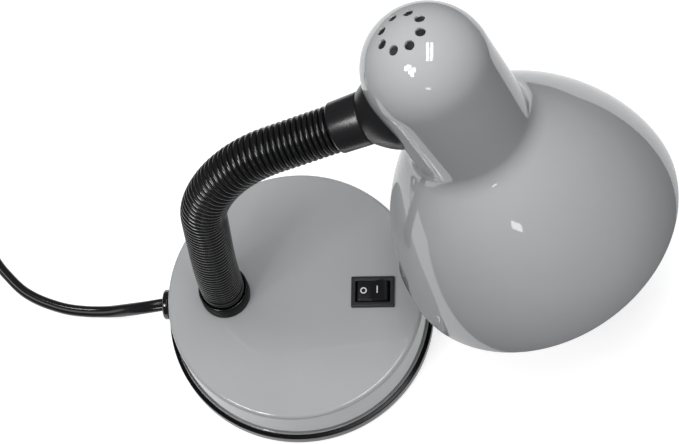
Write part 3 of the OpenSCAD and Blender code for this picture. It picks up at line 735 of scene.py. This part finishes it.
class LAMP_OT_base(bpy.types.Operator):
    """Adds the painted shell of the base, its plate and its gland."""

    bl_idname = "lamp.base"
    bl_label = "Base"

    def execute(self, context):
        self.shell()
        self.plate()
        self.gland()
        return {"FINISHED"}

    def shell(self):
        hem = settings().sizes.hem / MM
        r, top = SHELL_R, SHELL_TOP_R
        # the outside from the hem up to the middle, then the inside back down
        outside = []
        for k in range(9):
            a = radians(-90 + 180 * k / 8)
            outside.append((r - 0.35 + hem * cos(a), SHELL_Z + hem + hem * sin(a)))
        outside.append((r - 0.06, SHELL_Z + BAND))
        for k in range(1, 9):
            t = k / 8
            rise = (BASE_H - SHOULDER - SHELL_Z - BAND) * t
            outside.append((r + (top - r) * t, SHELL_Z + BAND + rise))
        for k in range(1, 17):
            a = radians(90 * k / 16)
            outside.append((
                top - SHOULDER + SHOULDER * cos(a), BASE_H - SHOULDER + SHOULDER * sin(a)))
        for k in range(1, 12):
            outside.append(((top - SHOULDER) * (1 - k / 12), BASE_H))
        inner = SHOULDER - SHEET
        inside = [((top - SHOULDER) * k / 12, BASE_H - SHEET) for k in range(1, 12)]
        for k in range(16, -1, -1):
            a = radians(90 * k / 16)
            inside.append((top - SHOULDER + inner * cos(a), BASE_H - SHOULDER + inner * sin(a)))
        inside.append((r - SHEET - 0.1, SHELL_Z + 1.2))
        profile = [*outside, (0, BASE_H), (0, BASE_H - SHEET), *inside]
        shell = turned("base_shell_skin", in_metres(profile), steps=FINE)
        cutters = [
            drum("neck_hole", NIPPLE_HOLE_R, -0.002, 0.002,
                 matrix=Matrix.Translation(Vector((FOOT.x, 0, BASE_H * MM)))),
            block("switch_hole", *SWITCH_HOLE, -0.002, 0.002, at(SWITCH_X, 0, BASE_H)),
            drum("gland_hole", GLAND_HOLE_R, -0.004, 0.004,
                 matrix=facing(Vector((GLAND_HOLE_X, 0, GLAND_Z)) * MM, Vector((1, 0, 0)), UP)),
        ]
        cut(shell, cutters)
        dress(shell, "enamel", "base", "grey_enamel", "base_shell")

    def plate(self):
        corners = [
            (61.2, 4.0, 0.3), (61.2, 9.9, 0), (61.2, 12.9, 0.4), (62.55, 12.9, 0.4),
            (62.55, 8.95, 0), (64.3, 8.95, 0.1), (64.3, 8.6, 0.1), (65.95, 8.55, 0.2),
            (66.2, 8.25, 0.2), (66.2, 2.2, 0.4), (65.7, 1.65, 0.3), (0, 1.6, 0), (0, 4.0, 0)]
        plate = turned("base_plate_skin", in_metres(rounded(corners, 4)), steps=FINE)
        heads = []
        for turn in (60, 180, 300):
            spot = Matrix.Rotation(radians(turn), 4, "Z") @ Matrix.Translation((SCREW_RING, 0, 0))
            heads.append(turned("screw_hole_%d" % turn, SCREW_HOLE, spot, 48, around=False))
        notch = block("gland_notch", 0.0042, 0.0079, 0.0005, 0.0090, 0.0150,
                      Matrix.Translation((-0.0622, 0, 0)))
        cut(plate, [*heads, notch])
        dress(plate, "plate", "base", "black_gloss", "base_plate")

    def gland(self):
        corners = [
            (3.5, 3.6, 0.4), (3.5, -5, 0), (5.4, -5, 0.2), (5.4, 0.62, 0), (6.9, 0.62, 0.2),
            (7.4, 1.1, 0.4), (7.4, 2.9, 0.9), (6.6, 3.6, 0.7), (4.8, 3.6, 0.3), (4.5, 3.35, 0.3)]
        place = facing(Vector((GLAND_X, 0, GLAND_Z)) * MM, Vector((-1, 0, 0)), UP)
        gland = turned("cord_gland_skin", in_metres(rounded(corners, 5)), place, 72)
        dress(gland, "gloss", "base", "black_gloss", "cord_gland")


# ---- switch ----
PIVOT = Vector(JOINTS["rocker_tilt"]["pos_m"])
# the rocker's radius about its hinge, the heights of its edges over the hinge, how far its
# middle dips, and how far down its sides go
ROCKER_R, ROCKER_EDGE, ROCKER_DIP, ROCKER_FLOOR = 8.1, 5.2, 1.4, 4.2
ROCKER_TILT = radians(12)
# half the distance between its upper edges
ROCKER_HALF = sqrt(ROCKER_R ** 2 - ROCKER_EDGE ** 2)
# places along its width, and how far in its outline lies there
ROCKER_SIDES = (
    (-5.1, 0.45), (-5.02, 0.2), (-4.8, 0.04), (-4.5, 0.0),
    (4.5, 0.0), (4.8, 0.04), (5.02, 0.2), (5.1, 0.45),
)
# the case from its foot up and over its rim: half length, half width, corner radius, height
CASE_LOOPS = (
    (9.4, 6.4, 0.5, -14.0), (9.4, 6.4, 0.5, 0.0), (10.1, 7.35, 0.4, 0.0),
    (10.5, 7.75, 0.45, 0.06), (10.5, 7.75, 0.45, 1.4), (10.4, 7.65, 0.45, 1.75),
    (10.15, 7.4, 0.4, 1.95), (9.8, 7.05, 0.4, 2.0), (8.75, 5.65, 0.35, 2.0),
    (8.5, 5.4, 0.3, 1.88), (8.4, 5.3, 0.3, 1.5), (8.4, 5.3, 0.3, -7.4),
)
# the marks: their places on the rocker and how deep they sit, in millimetres; then in metres
# the ring's two radii, the bar's half sizes and corner, and their thickness
RING_MARK, BAR_MARK, MARK_SINK = (-3.55, 0.2), (3.35, 0.3), 0.07
MARK_RING, MARK_BAR, MARK_T = (0.00105, 0.00158), (0.0003, 0.00185, 0.00025), 0.00009


class LAMP_OT_switch(bpy.types.Operator):
    """Adds the switch's case, its rocker and the rocker's marks."""

    bl_idname = "lamp.switch"
    bl_label = "Switch"

    def execute(self, context):
        self.case()
        self.rocker()
        return {"FINISHED"}

    def case(self):
        loops = [[p * MM for p in slab(*row)] for row in CASE_LOOPS]
        case = loft("switch_case", loops, matrix=at(SWITCH_X, 0, BASE_H))
        dress(case, "bezel", "base", "black_gloss", "switch_body")

    def outline(self, inset):
        """The rocker's outline seen from the side, in its own level frame."""
        r = ROCKER_R - inset
        a = asin((ROCKER_EDGE - inset) / r)
        b = asin((ROCKER_FLOOR - inset) / r)
        right = [(r * cos(t), r * sin(t)) for t in (a + (-b - a) * k / 10 for k in range(11))]
        left = [(-x, z) for x, z in reversed(right)]
        middle = ROCKER_EDGE - ROCKER_DIP - inset
        dip = [(x, middle + (ROCKER_EDGE - inset - middle) * (abs(x) / right[0][0]) ** 1.12)
               for x in (right[0][0] * k / 8 for k in range(-7, 8))]
        return dip + right + left

    def rocker(self):
        place = Matrix.Translation(PIVOT) @ Matrix.Rotation(-ROCKER_TILT, 4, "Y")
        loops = []
        for y, inset in ROCKER_SIDES:
            loops.append([Vector((x, y, z)) * MM for x, z in self.outline(inset)])
        rocker = loft("rocker_key", loops, matrix=place)
        dress(rocker, "switch", "rocker", "black_satin", "switch_rocker")
        inner, outer = MARK_RING
        ring_profile = [(inner, 0.0), (outer, 0.0), (outer, MARK_T), (inner, MARK_T)]
        off = turned("rocker_mark_off", ring_profile, self.on_rocker(place, *RING_MARK), 48)
        on = block("rocker_mark_on", *MARK_BAR, 0.0, MARK_T, self.on_rocker(place, *BAR_MARK))
        for mark in (off, on):
            dress(mark, "mark", "rocker", "black_satin")

    def on_rocker(self, place, x, y):
        """A place on the sloping half of the rocker's face."""
        slope = atan2(ROCKER_DIP, ROCKER_HALF)
        level = ROCKER_EDGE - ROCKER_DIP + abs(x) / ROCKER_HALF * ROCKER_DIP
        return place @ at(x, y, level - MARK_SINK) \
            @ Matrix.Rotation(-slope if x > 0 else slope, 4, "Y")


# ---- neck ----
# in millimetres: the distance from rib to rib, and the sleeve's radius outside and inside
PITCH = 2.58
SLEEVE_R, SLEEVE_BORE = 10.5, 8.6
# ribs below the first joint, and above the last
FOOT_RIBS, END_RIBS = 1.5, 0.25
# a rib is drawn at these shares of its pitch; its crown is flat on top and steep at its sides
RIB_STEPS = (0.0, 0.04, 0.1, 0.2, 0.35, 0.5, 0.65, 0.8, 0.9, 0.96)
RIB_FLAT, RIB_STEEP = 2.2, 0.75
LAST = len(PIVOTS) - 1


class LAMP_OT_neck(bpy.types.Operator):
    """Adds the ribbed sleeve of the neck, one stretch across each joint."""

    bl_idname = "lamp.neck"
    bl_label = "Neck"

    def execute(self, context):
        for i in range(len(PIVOTS)):
            self.stretch(i)
        return {"FINISHED"}

    def stretch(self, i):
        """The sleeve from the middle of one link to the middle of the next."""
        here = PIVOTS[i] / MM
        before = UP if i == 0 else (PIVOTS[i] - PIVOTS[i - 1]).normalized()
        after = REACH if i == LAST else (PIVOTS[i + 1] - PIVOTS[i]).normalized()
        below = FOOT_RIBS if i == 0 else LINK_RIBS[i - 1] - LINK_RIBS[i - 1] // 2
        above = END_RIBS if i == LAST else LINK_RIBS[i] // 2
        bend = min(2, below, above) * PITCH
        side = UP.cross(REACH).normalized()
        depth = settings().sizes.rib_depth / MM

        def centre(s):
            """The sleeve's centre and direction this far past the joint."""
            if s <= -bend:
                return here + before * s, before
            if s >= bend:
                return here + after * s, after
            t = (s + bend) / (2 * bend)
            spot = here - before * bend * (1 - t) ** 2 + after * bend * t * t
            return spot, (before * (1 - t) + after * t).normalized()

        def circle(s, r, steps=72):
            spot, t = centre(s)
            x = (side - t * side.dot(t)).normalized()
            y = t.cross(x)
            return [(spot + x * r * cos(2 * pi * k / steps) + y * r * sin(2 * pi * k / steps)) * MM
                    for k in range(steps)]

        outer = []
        step = -below
        while step < above - 1e-6:
            # a rib: a round crown between two grooves
            for u in RIB_STEPS:
                s = step + u
                if s > above:
                    break
                across = abs(2 * ((s + 0.5 * (i == 0)) % 1) - 1)
                crown = (1 - across ** RIB_FLAT) ** RIB_STEEP
                outer.append((s * PITCH, SLEEVE_R - depth + depth * crown))
            step += 1
        outer.append((above * PITCH, SLEEVE_R - depth))
        inner = [(above * PITCH, SLEEVE_BORE)]
        cells = max(4, int(above + below) * 2)
        for k in range(1, cells + 1):
            inner.append(((above - (above + below) * k / cells) * PITCH, SLEEVE_BORE))
        loops = [circle(s, r) for s, r in outer + inner]
        name = "neck_sleeve_%02d" % (i + 1)
        piece = loft(name, loops, around=True)
        piece.data.materials.append(FINISHES["sleeve"])
        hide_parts("sleeve_" + LINKS[min(i, LAST - 1)])
        start, _ = centre(-bend if i else -below * PITCH)
        end, _ = centre(bend)
        tuple(start * MM)
        tuple(end * MM)
        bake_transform(piece)


# the rounded bead on the lower collar's rim, in millimetres: its circle and its own radius
BEAD_RING, BEAD_R = 11.35, 0.4


class LAMP_OT_collars(bpy.types.Operator):
    """Adds the collars at both ends of the neck, and the saddle on the shade."""

    bl_idname = "lamp.collars"
    bl_label = "Collars"

    def execute(self, context):
        self.lower()
        self.upper()
        self.saddle()
        return {"FINISHED"}

    def lower(self):
        top = BASE_H + COLLAR_H
        corners = [
            (5.1, BASE_H, 0), (12.1, BASE_H, 0.2), (12.0, top, 0.25), (11.5, top, 0.2),
            (11.0, top - 2.3, 0), (10.15, top - 4.3, 0), (8.8, top - 6.2, 0.2),
            (8.8, BASE_H + 1.2, 0.1), (5.1, BASE_H + 1.2, 0)]
        place = Matrix.Translation((FOOT.x, 0, 0))
        collar = turned("lower_collar_skin", in_metres(rounded(corners, 4)), place, ROUND)
        dress(collar, "collar", "base", "black_gloss", "lower_collar")
        turns = [2 * pi * k / 12 for k in range(12)]
        edge = [(BEAD_RING + BEAD_R * cos(a), top + BEAD_R * sin(a)) for a in turns]
        bead = turned("lower_collar_bead", in_metres(edge), place, ROUND)
        dress(bead, "gloss", "base", "black_gloss")

    def upper(self):
        length = COLLAR_L
        corners = [
            (5.6, 0.9, 0), (10.6, 0.9, 0), (10.65, -1.3, 0.1), (10.95, -1.3, 0.15),
            (11.3, -0.75, 0.3), (11.7, length - 0.35, 0.5), (11.3, length, 0.2), (5.6, length, 0)]
        place = facing(PIVOTS[-1], REACH, POLE)
        collar = turned("upper_collar_skin", in_metres(rounded(corners, 4)), place, ROUND)
        dress(collar, "moulding", "head", "black_gloss", "upper_collar")

    def saddle(self):
        # heights run from the shade's axis back along the neck's end
        top, foot, neck = HOOD_R + SADDLE_T, 18.3, 11.5
        edge = sqrt(HOOD_R ** 2 - foot ** 2)
        outside = [
            (foot - 0.1, edge - 2.6), (foot, edge - 0.6), (foot, edge + 0.1),
            (foot - 0.12, edge + 0.75)]
        for k in range(1, 15):
            t = k / 14
            outside.append((foot + (neck - foot) * t ** 1.6, edge + 0.95 + (top - edge - 0.95) * t))
        profile = [(5.6, edge - 2.6), *outside, (neck - 0.3, top), (5.6, top)]
        place = facing(HEAD, -REACH, POLE)
        saddle = turned("shade_saddle_skin", in_metres(profile), place, ROUND)
        # the saddle's foot is hollowed to the hood, with a little room
        hood = drum("hood_space", (HOOD_R + 0.06) * MM, -0.06, 0.06, FINE, HEAD_PLACE)
        cut(saddle, [hood])
        dress(saddle, "moulding", "head", "black_gloss", "shade_saddle")


# ---- shade ----
# in millimetres: the hood's and the mouth's radius, the bowl's height if its curve closed, the
# distance from mouth to dome's centre, and how far that lies above the neck's axis
HOOD_R, MOUTH_R, BOWL, SHADE_L, DOME = 27.7, 67.0, 90.4, 123.1, 16.0
# 2 makes the bowl's curve an ellipse, and less brings it closer to a cone
BOWL_ROUND = 1.58
# how far the soft crease between hood and bowl reaches
FILLET = 5.5
# the dome's vents: how many, their radius, the radius of their ring, its turn in degrees
VENTS, VENT_R, VENT_RING, VENT_TURN = 8, 2.05, 9.0, 19.5
COLLAR_L, SADDLE_T = 12.7, 7.5
# what lies this close to the mouth's edge keeps the enamel, in metres
EDGE_BAND = 0.0002


class LAMP_OT_shade(bpy.types.Operator):
    """Adds the bell-shaped shade with its vents and its white lining."""

    bl_idname = "lamp.shade"
    bl_label = "Shade"

    def execute(self, context):
        mouth = DOME - SHADE_L
        outside, inside = self.skin(0.0), self.skin(SHEET)
        hem = []
        for k in range(1, 8):
            a = radians(180 * k / 8)
            hem.append((MOUTH_R - SHEET / 2 + SHEET / 2 * cos(a), mouth - SHEET / 2 * sin(a)))
        profile = in_metres(outside + hem + inside[::-1])
        shade = turned("shade_skin", profile, HEAD_PLACE, FINE, around=False)
        cutters = []
        for k in range(VENTS):
            a = radians(VENT_TURN + 360 * k / VENTS)
            out = VENT_RING * MM
            spot = HEAD_PLACE @ Matrix.Translation((out * cos(a), out * sin(a), DOME * MM))
            cutters.append(drum("vent_%d" % k, VENT_R * MM, 0.01, 0.03, 32, spot))
        place = facing(HEAD, -REACH, POLE)
        hole = drum("nipple_hole", NIPPLE_HOLE_R, 0.02, 0.03, matrix=place)
        cut(shade, [*cutters, hole], 40)
        dress(shade, "enamel", "head", "grey_enamel", "shade")
        shade.data.materials.append(FINISHES["lining"])
        self.line(shade)
        return {"FINISHED"}

    def skin(self, t):
        """One face of the sheet, from the dome's top to the mouth."""
        r = HOOD_R - t
        out = [(0, DOME + r)]
        for k in range(1, 25):
            a = radians(90 - 90 * k / 24)
            out.append((r * cos(a), DOME + r * sin(a)))
        mouth = DOME - SHADE_L
        wide, tall = MOUTH_R - t, BOWL - t
        start = asin((r / wide) ** (BOWL_ROUND / 2))
        power = 2 / BOWL_ROUND
        join = mouth + tall * cos(start) ** power
        for k in range(1, 12):
            out.append((r, DOME + (join + FILLET - DOME) * k / 11))
        bowl = []
        for k in range(0, 97):
            a = start + (pi / 2 - start) * k / 96
            bowl.append((wide * sin(a) ** power, mouth + tall * abs(cos(a)) ** power))
        corner = Vector((r, join))
        past = next(k for k, p in enumerate(bowl) if (Vector(p) - corner).length >= FILLET)
        for k in range(1, 10):
            u = k / 10
            p = Vector((r, join + FILLET)) * (1 - u) ** 2
            p = p + corner * 2 * u * (1 - u) + Vector(bowl[past]) * u * u
            out.append((p.x, p.y))
        return out + bowl[past:]

    def line(self, shade):
        """Paints the faces that look inwards white."""
        into = HEAD_PLACE.inverted()
        mouth = (DOME - SHADE_L) * MM
        for face in shade.data.polygons:
            p = into @ face.center
            n = into.to_3x3() @ face.normal
            outwards = Vector((p.x, p.y, max(0.0, p.z - DOME * MM)))
            if n.dot(outwards) < 0 and p.z > mouth + EDGE_BAND:
                face.material_index = 1


# ---- pieces that keep their own shape ----
KEPT = {
    "foam": ["base_pad"],
    "iron": ["ballast_disc"],
    "zinc": [
        "plate_screws", "foot_washer", "foot_nut", "head_nut", "holder_bracket", "holder_screw",
    ],
    "brass": [
        "foot_nipple", "switch_blades", "terminal_screws", "head_nipple", "holder_thread",
        "holder_contact",
    ],
    "block": ["terminal_block"],
    "switch": ["gland_nut"],
    "brown": ["supply_leads", "switch_lead"],
    "blue": ["neck_leads"],
    "bakelite": ["holder_cap", "holder_skirt"],
    "porcelain": ["holder_insert"],
    "spring": ["core_" + link for link in LINKS],
}


class LAMP_OT_fittings(bpy.types.Operator):
    """Gives the fittings inside the lamp their finishes."""

    bl_idname = "lamp.fittings"
    bl_label = "Fittings"

    def execute(self, context):
        for finish, names in KEPT.items():
            for name in names:
                node = frame["nodes"][name]
                for place in node.material_slots:
                    place.material = FINISHES[finish]
        return {"FINISHED"}


# ---- studio ----
VIEW_AZIMUTH, VIEW_ELEVATION, VIEW_ROLL = radians(15), radians(68.5), radians(-15)
VIEW_POINT = Vector((0.10767, -0.28648, 0.88357))
# the focal length and the picture's width in pixels, and the sensor's width in millimetres
FOCAL_PIXELS, IMAGE_WIDTH, SENSOR = 1855, 679, 36

# from here on in metres: two corners of the sheet of paper, and the floor's radius
PAPER_LOW, PAPER_HIGH = Vector((-0.25, -0.115)), Vector((0.32, 0.42))
PAPER_CORNER, FLOOR_R = 0.004, 1.6
# paper and floor: how much light each throws back
PAPER_WHITE, FLOOR_WHITE = 0.5, 0.12
# what the eye gets besides the paint's own light, so that both come out white
SEEN_WHITE, SEEN_LIT = 1.1, 0.7
ROOM_TINT = (0.95, 0.97, 1.0)
# the lamps: place, width and height
SOFT_AT, SOFT_SIZE = (-0.05, 0.015, 0.85), (0.56, 0.56)
TUBE_AT, TUBE_APART, TUBE_SIZE = (0.24, 0.10, 1.6), 0.08, (0.12, 0.80)
FRONT_AT, FRONT_SIZE = (0.13, -0.80, 0.71), (0.13, 0.07)
# the lamps at the left stand on one upright panel: its middle, what spreads them across and up
# it, and what makes each larger; then each lamp's place across and up, its width and its height
SPOT_AT = (-0.50, -0.50, 1.26)
SPOT_ACROSS, SPOT_UP, SPOT_LARGER = 0.9, 1.3, 1.3
SPOTS = (
    (-0.09, 0.08, 0.15, 0.12), (0.10, 0.11, 0.12, 0.15), (-0.11, -0.08, 0.10, 0.12),
    (0.05, -0.06, 0.13, 0.12), (0.13, -0.12, 0.08, 0.10),
)
# the size that a lamp's power is given for, in square metres
SPOT_AREA = 0.06


class LAMP_OT_camera(bpy.types.Operator):
    """Adds the camera."""

    bl_idname = "lamp.camera"
    bl_label = "Camera"

    def execute(self, context):
        a, e = VIEW_AZIMUTH, VIEW_ELEVATION
        back = Vector((sin(a) * cos(e), -cos(a) * cos(e), sin(e)))
        right = Vector((cos(a), sin(a), 0))
        above = back.cross(right)
        c, s = cos(VIEW_ROLL), sin(VIEW_ROLL)
        turn = Matrix((right * c + above * s, above * c - right * s, back)).transposed()
        data = bpy.data.cameras.new("camera")
        data.sensor_fit = "HORIZONTAL"
        data.sensor_width = SENSOR
        data.lens = SENSOR * FOCAL_PIXELS / IMAGE_WIDTH
        data.clip_start, data.clip_end = 0.05, 20
        camera = bpy.data.objects.new("camera", data)
        camera.matrix_world = Matrix.Translation(VIEW_POINT) @ turn.to_4x4()
        context.scene.collection.objects.link(camera)
        context.scene.camera = camera
        return {"FINISHED"}


class LAMP_OT_stage(bpy.types.Operator):
    """Adds the sheet of white paper, the floor round it, the lights and the room."""

    bl_idname = "lamp.stage"
    bl_label = "Stage"

    def execute(self, context):
        s = settings().studio
        middle, half = (PAPER_LOW + PAPER_HIGH) / 2, (PAPER_HIGH - PAPER_LOW) / 2
        sheet = block("paper_sheet", half.x, half.y, PAPER_CORNER, -0.0004, -0.0001,
                      Matrix.Translation((middle.x, middle.y, 0)))
        floor = drum("studio_floor", FLOOR_R, -0.0012, -0.0006, 96)
        for piece, plain, glow in (
                (sheet, PAPER_WHITE, s.paper_glow), (floor, FLOOR_WHITE, 0.0)):
            piece.data.materials.append(self.white(piece.name + "_white", plain, glow))
        self.room(s.sky)
        self.lamp("soft_overhead", SOFT_AT, *SOFT_SIZE, s.overhead, mirrored=False)
        x, y, z = TUBE_AT
        for side in (-1, 1):
            self.lamp("tube_%d" % (side + 2), (x + TUBE_APART * side, y, z), *TUBE_SIZE, s.tubes)
        x, y, z = SPOT_AT
        for k, (across, up, width, height) in enumerate(SPOTS):
            place = (x + SPOT_ACROSS * across, y - SPOT_ACROSS * across, z + SPOT_UP * up)
            self.lamp("left_spot_%d" % (k + 1), place, SPOT_LARGER * width, SPOT_LARGER * height,
                      s.cluster * width * height / SPOT_AREA)
        self.lamp("front_bar", FRONT_AT, *FRONT_SIZE, s.front)
        context.scene.view_settings.view_transform = "Standard"
        return {"FINISHED"}

    def white(self, name, plain, glow):
        """Plain under the lights, white to the eye, and this bright in reflections."""
        f = Finish(name)

        def light(colour, strength):
            return f.node("ShaderNodeEmission", values={"Color": colour, "Strength": strength})

        path = f.node("ShaderNodeLightPath")
        mirrored = path.output("Is Glossy Ray") + path.output("Is Transmission Ray")
        paint = f.node("ShaderNodeBsdfDiffuse", values={"Color": (plain, plain, plain)})
        unlit = light((0, 0, 0), 0.0)
        bright = light((1, 1, 1), SEEN_WHITE - SEEN_LIT * plain)
        sheen = light((1, 1, 1), glow)
        seen = f.blend(path.output("Is Camera Ray"), unlit, bright)
        seen = f.blend(mirrored, seen, sheen)
        both = f.node("ShaderNodeAddShader", values={0: paint, 1: seen})
        f.node("ShaderNodeOutputMaterial", values={"Surface": both})
        return f.material

    def room(self, strength):
        """The room's dim light, and white behind everything that is seen past the floor."""
        f = Finish.of_world("room")

        def light(colour, power):
            return f.node("ShaderNodeBackground", values={"Color": colour, "Strength": power})

        path = f.node("ShaderNodeLightPath")
        lit = light(ROOM_TINT, strength)
        gloss = light(ROOM_TINT, strength / 2)
        dim = f.blend(path.output("Is Glossy Ray"), lit, gloss)
        white = light((1, 1, 1), 1.0)
        seen = path.output("Is Camera Ray") + path.output("Is Transmission Ray")
        either = f.blend(seen, dim, white)
        f.node("ShaderNodeOutputWorld", values={"Surface": either})

    def lamp(self, name, place, width, height, power, mirrored=True):
        """A flat lamp that faces the object. mirrored says whether gloss shows it."""
        data = bpy.data.lights.new(name, "AREA")
        data.shape = "RECTANGLE"
        data.size, data.size_y = width, height
        data.energy = power
        lamp = bpy.data.objects.new(name, data)
        lamp.visible_glossy = mirrored
        aim = Vector(place) - Vector((0, 0, 0.1))
        lamp.matrix_world = facing(Vector(place), aim, Vector((1, 0, 0)))
        bpy.context.scene.collection.objects.link(lamp)


class LAMP_PT_panel(bpy.types.Panel):
    """Lists the lamp's pieces and settings."""

    bl_idname = "LAMP_PT_panel"
    bl_label = "Desk Lamp"
    bl_space_type = "VIEW_3D"
    bl_region_type = "UI"
    bl_category = "Desk Lamp"

    def draw(self, context):
        column = self.layout.column()
        for step in STEPS:
            column.operator(step.bl_idname)
        lamp = context.scene.desk_lamp
        for group in (lamp.sizes, lamp.colours, lamp.studio):
            for name in group.bl_rna.properties.keys():
                if name not in {"rna_type", "name"}:
                    column.prop(group, name)


STEPS = (
    LAMP_OT_camera, LAMP_OT_cord, LAMP_OT_base, LAMP_OT_switch, LAMP_OT_neck,
    LAMP_OT_collars, LAMP_OT_shade, LAMP_OT_fittings, LAMP_OT_stage,
)
CLASSES = (LampSizes, LampColours, StudioSettings, LampSettings, *STEPS, LAMP_PT_panel)


def register():
    for item in CLASSES:
        bpy.utils.register_class(item)
    bpy.types.Scene.desk_lamp = PointerProperty(type=LampSettings)


def unregister():
    del bpy.types.Scene.desk_lamp
    for item in reversed(CLASSES):
        bpy.utils.unregister_class(item)


def main():
    register()
    make_finishes()
    for step in STEPS:
        group, name = step.bl_idname.split(".")
        getattr(getattr(bpy.ops, group), name)()


if __name__ == "__main__":
    main()
